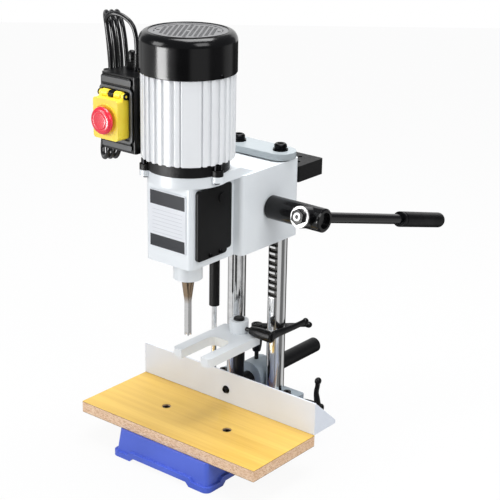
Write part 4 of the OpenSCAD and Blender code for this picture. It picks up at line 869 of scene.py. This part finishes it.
ridges = [place for i in range(5) for place in ridge(i)]
relief = turned("strain_relief", [(6.5, 0), (6.5, 5.4), (6, 6)] + ridges + [(4.1, 26)], 32, relief_at)
settle(relief, "head", "black_plastic", "cord_glands")
nut = turned("cutout_nut", [(8.5, 0), (8.5, 10.8), (7.6, 12)], 6, cutout_at)
neck = [(6, 11.5), (6, 13), (5.3, 13.6), (5.3, 14.6), (6, 15.2), (6, 23)]
dome = turned("cutout_dome", neck + arc(6, 23, 0.6, 28.9, 6)[1:], 32, cutout_at)
settle(joined(nut, dome), "head", "black_plastic", "cord_glands")
print("strain relief with", len(ridges)//4, "ridges")

# %% [markdown]
# ## The feed lever
#
# The bar runs through the hub and is held by a washer and a nut on its threaded front end. The grip is a
# rubber sleeve with a collar. All of them lie along the lever, which leans back and down.

# %% Washer, nut, bar and grip
hub_at, lean = Vector((140, 53.6036, 407.5))*mm, (-104.8, "X")
turning = body_of("lever_bar")
washer = turned("lever_washer", [(16.2, -31), (16.8, -30.6), (16.8, -28.6), (16.2, -28.2)], 64, hub_at, lean)
settle(washer, turning, "zinc", "lever_nut")
nut = turned("lever_hex_nut", [(11.2, -37), (12.6, -36.2), (12.6, -31)], 6, hub_at, lean)
settle(nut, turning, "gloss_black", "lever_nut")
thread = [place for i in range(3) for place in ((7.3, -37 + 1.4*i), (6.9, -36.3 + 1.4*i))]
bar = turned("lever_rod", [(6.2, -37.7), (7.0, -37.4)] + thread + [(8.5, -32), (8.5, 334)], 48, hub_at, lean)
settle(bar, turning, "gloss_black", "lever_bar")
stud_end = [(3.2, -37.6), (3.4, -38), (6.0, -38), (6.8, -37.5), (6.8, -37.2)]
stud_rim = turned("stud_rim", stud_end, 40, hub_at, lean)
settle(stud_rim, turning, "zinc")
socket = turned("stud_socket", [(2.6, -38.1), (2.8, -37.4)], 6, hub_at, lean)
settle(socket, turning, "gloss_black")
cuff = [(11, 254), (12.6, 254.4), (13, 255.2), (13, 261), (12.5, 261.8), (12.2, 263), (12.5, 264.2)]
sleeve = [(13, 266), (13, 381)] + arc(13, 381, 4, 390, 7)[1:]
grip = turned("rubber_grip", cuff + sleeve, 48, hub_at, lean, angle=40)
settle(grip, turning, "grip_plastic", "lever_grip")
print("lever pieces ready")

# %% [markdown]
# ## Clamp levers
#
# The three clamp levers are die cast: a tapered hub with a screw sunk in its end, and an arm that swells to
# a knob. The arm is a curve whose thickness changes along the way, turned into a mesh. One function makes
# all three.

# %% Clamp levers
def swept(name, points, radii):
    """A tube along points in millimetres, with a thickness at each, as a mesh."""
    piece = curve_along(name, from_mm(points), 1*mm, sides=5)
    for knot, radius in zip(piece.data.splines[0].bezier_points, radii):
        knot.radius = radius*mm
    only(piece)
    bpy.ops.object.convert(target="MESH")
    return smoothed(bpy.context.object, 50)


def handle_hub(name, low, hub_h, hub_r):
    """The tapered hub of a clamp lever from a height upwards, with the sunk screw in its top."""
    top = low + hub_h
    foot = [(hub_r*0.62, low), (hub_r*0.7, low + 0.7), (hub_r*0.88, low + hub_h*0.2)]
    swell = [(hub_r*0.98, low + hub_h*0.45), (hub_r, top - 9)] + arc(hub_r, top - 1.4, hub_r - 1.4, top, 4)
    sink = [(hub_r*0.66, top), (hub_r*0.62, top - 1.5), (hub_r*0.4, top - 1.5)]
    screw = [(hub_r*0.36, top - 0.5), (hub_r*0.2, top - 0.5), (hub_r*0.16, top - 2.4)]
    return turned(name, foot + swell + sink + screw, 40)


def clamp(node, at, along, turn, stud_in, stud_out, hub_h, hub_r, reach, arm_z, bend=0.0):
    """A clamp lever drawn upright with its arm along X, then laid in its place."""
    hub = handle_hub("handle_" + node, stud_out, hub_h, hub_r)
    stud = turned("stud", [(3.1, -stud_in), (3.5, 0.4 - stud_in), (3.5, stud_out + 1)], 24)
    root_z = stud_out + hub_h - 5.6
    way = [(0, 0, root_z), (reach*0.25, 0, root_z - bend), (reach*0.55, 0, arm_z - bend),
        (reach*0.82, 0, arm_z - bend*0.2), (reach, 0, arm_z)]
    arm = swept("arm", way, [hub_r*0.94, 6.6, 5.5, 5.2, 5.6])
    with editing(arm) as work:
        work.everything()
        bpy.ops.transform.resize(value=(1, 1, 0.62), center_override=(0, 0, arm_z*mm))
    bpy.ops.mesh.primitive_uv_sphere_add(segments=28, ring_count=16, radius=6.5*mm)
    knob = bpy.context.object
    with editing(knob) as work:
        work.everything()
        bpy.ops.transform.resize(value=(0.96, 0.98, 0.8))
        bpy.ops.transform.translate(value=((reach - 0.3)*mm, 0, arm_z*mm))
    smoothed(knob, 60)
    piece = laid(joined(hub, stud, arm, knob), at, along, turn)
    return settle(piece, body_of(node), "black_plastic", node)


clamp("holddown_lever", Vector((15.5, 57, 188.5))*mm, "X", 88.5, stud_in=6.2, stud_out=9, hub_h=44, hub_r=9.5,
    reach=92, arm_z=50)
clamp("fence_lever", Vector((0, 104, 116))*mm, "Z", 45.5, stud_in=15.7, stud_out=14, hub_h=49, hub_r=9.5,
    reach=86, arm_z=58)
clamp("column_lever", Vector((84, 112, 61))*mm, "X", 177, stud_in=13.7, stud_out=6, hub_h=40, hub_r=9,
    reach=47, arm_z=36, bend=3)
print("clamp levers ready")

# %% [markdown]
# ## Parts that keep their packed form
#
# Small, round or hidden parts are right as they are: screws, bearings, the rotor, the rack. They only need
# their finish, which goes into their own material slots. The column with the rack gets the finish with the
# dark roots.

# %% Paint the parts that stay
replaced = {name for piece in bpy.data.objects if "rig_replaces" in piece for name in piece["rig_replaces"]}
for node, packed in frame["nodes"].items():
    if node in replaced:
        continue
    material = finishes["racked" if node == "right_column" else slot_of(node)].material
    if not packed.material_slots:
        packed.data.materials.append(material)
    for place in packed.material_slots:
        place.material = material
print("parts that stay:", len(frame["nodes"]) - len(replaced))

# %% [markdown]
# ## Light and floor
#
# The photograph is a studio shot on white. Two large, soft lamps stand left and right, and a third hangs
# above. A fourth stands low and shows only in reflections, where it draws a bright streak. The world is a
# plain grey that fills the shadows. A picture on white needs a white background, not more light, so the
# camera sees white where there is nothing. The floor is mostly white by itself and only partly lit, which
# keeps a soft shadow. Whatever mirrors the room sees a darker sky, and a floor with paler and darker bands,
# as in a studio with screens.

# %% Lamps
def lamp(name, place, aim, size, power):
    """A square soft lamp at a place, turned to a point."""
    data = bpy.data.lights.new(name, "AREA")
    data.shape, data.size, data.energy = "SQUARE", size, power
    made = bpy.data.objects.new(name, data)
    facing = (Vector(place) - Vector(aim)).to_track_quat("Z", "Y").to_matrix().to_4x4()
    made.matrix_world = Matrix.Translation(place) @ facing
    bpy.context.collection.objects.link(made)
    return made


middle = (0, -0.03, 0.35)
lamp("left_lamp", (-1.1, -1.7, 1.2), middle, 0.9, 18)
lamp("right_lamp", (1.55, -0.45, 1.65), middle, 0.9, 13)
lamp("top_lamp", (0.1, 0.2, 2.2), middle, 1.2, 48)
strip = lamp("strip_lamp", (-0.42, -1.2, 0.3), (0, -0.068, 0.62), 0.56, 20)
strip.data.shape, strip.data.size_y, strip.visible_diffuse = "RECTANGLE", 0.5, False

# %% White world
grey, white, mirrored_loss = (0.50, 0.51, 0.53, 1), (1, 1, 1, 1), 0.65
world = bpy.data.worlds.new("studio")
bpy.context.scene.world = world
world.use_nodes = True
sky = Graph(world.node_tree)
lit = sky.node("Background", {}, {"Color": grey, "Strength": 1.0 - sky.ray("Glossy")*mirrored_loss})
seen = sky.node("Background", {}, {"Color": white})
sky.show(sky.node("MixShader", {}, {0: sky.ray("Camera"), 1: lit, 2: seen}), "World Output")
print("world is white where it is seen, and grey where it lights")

# %% Floor
bpy.ops.mesh.primitive_plane_add(size=16, location=(0, 0, -0.1*mm))
floor = bpy.context.object
floor.name = "floor"
bpy.ops.object.transform_apply(location=True, rotation=True, scale=True)
ground = Finish("floor_white", (0.6, 0.6, 0.6), 0.9)
turn = ground.maths("ARCTAN2", ground.axis("Y"), ground.axis("X"))
step_up = lambda low, high: ground.between(turn, radians(low), radians(high))
bands = (0.75 - step_up(-84, -74)*0.70 + step_up(-48, -42)*0.60 - step_up(-5, 2)*0.50
    + step_up(34, 45)*0.45 - step_up(68, 76)*0.55 + step_up(120, 140)*0.40)
white_by_itself = 0.93
glow = ground.node("Emission", {}, {"Strength": ground.ray("Camera") + ground.ray("Glossy")*bands})
unlit = ground.ray("Camera")*white_by_itself + ground.ray("Glossy")
matt = Signal(ground, ground.shader.outputs[0])
ground.show(ground.node("MixShader", {}, {0: unlit, 1: matt, 2: glow}))
floor.data.materials.append(ground.material)
print("floor", floor.dimensions.x, "m wide")

# %% Backdrop and view
upright = (radians(90), 0, radians(40.2))
bpy.ops.mesh.primitive_plane_add(size=1, rotation=upright, location=(-2.3, 2.75, 1.3))
backdrop = bpy.context.object
backdrop.name, backdrop.scale = "backdrop", (6, 2.6, 1)
bpy.ops.object.transform_apply(location=True, rotation=True, scale=True)
paper = Finish("backdrop_white", (0.9, 0.9, 0.9), 0.9)
paper.show(paper.node("Emission", {}, {"Strength": 1.0}))
backdrop.data.materials.append(paper.material)
view = bpy.context.scene.view_settings
view.view_transform = "Standard"
print("floor, backdrop and view are set")
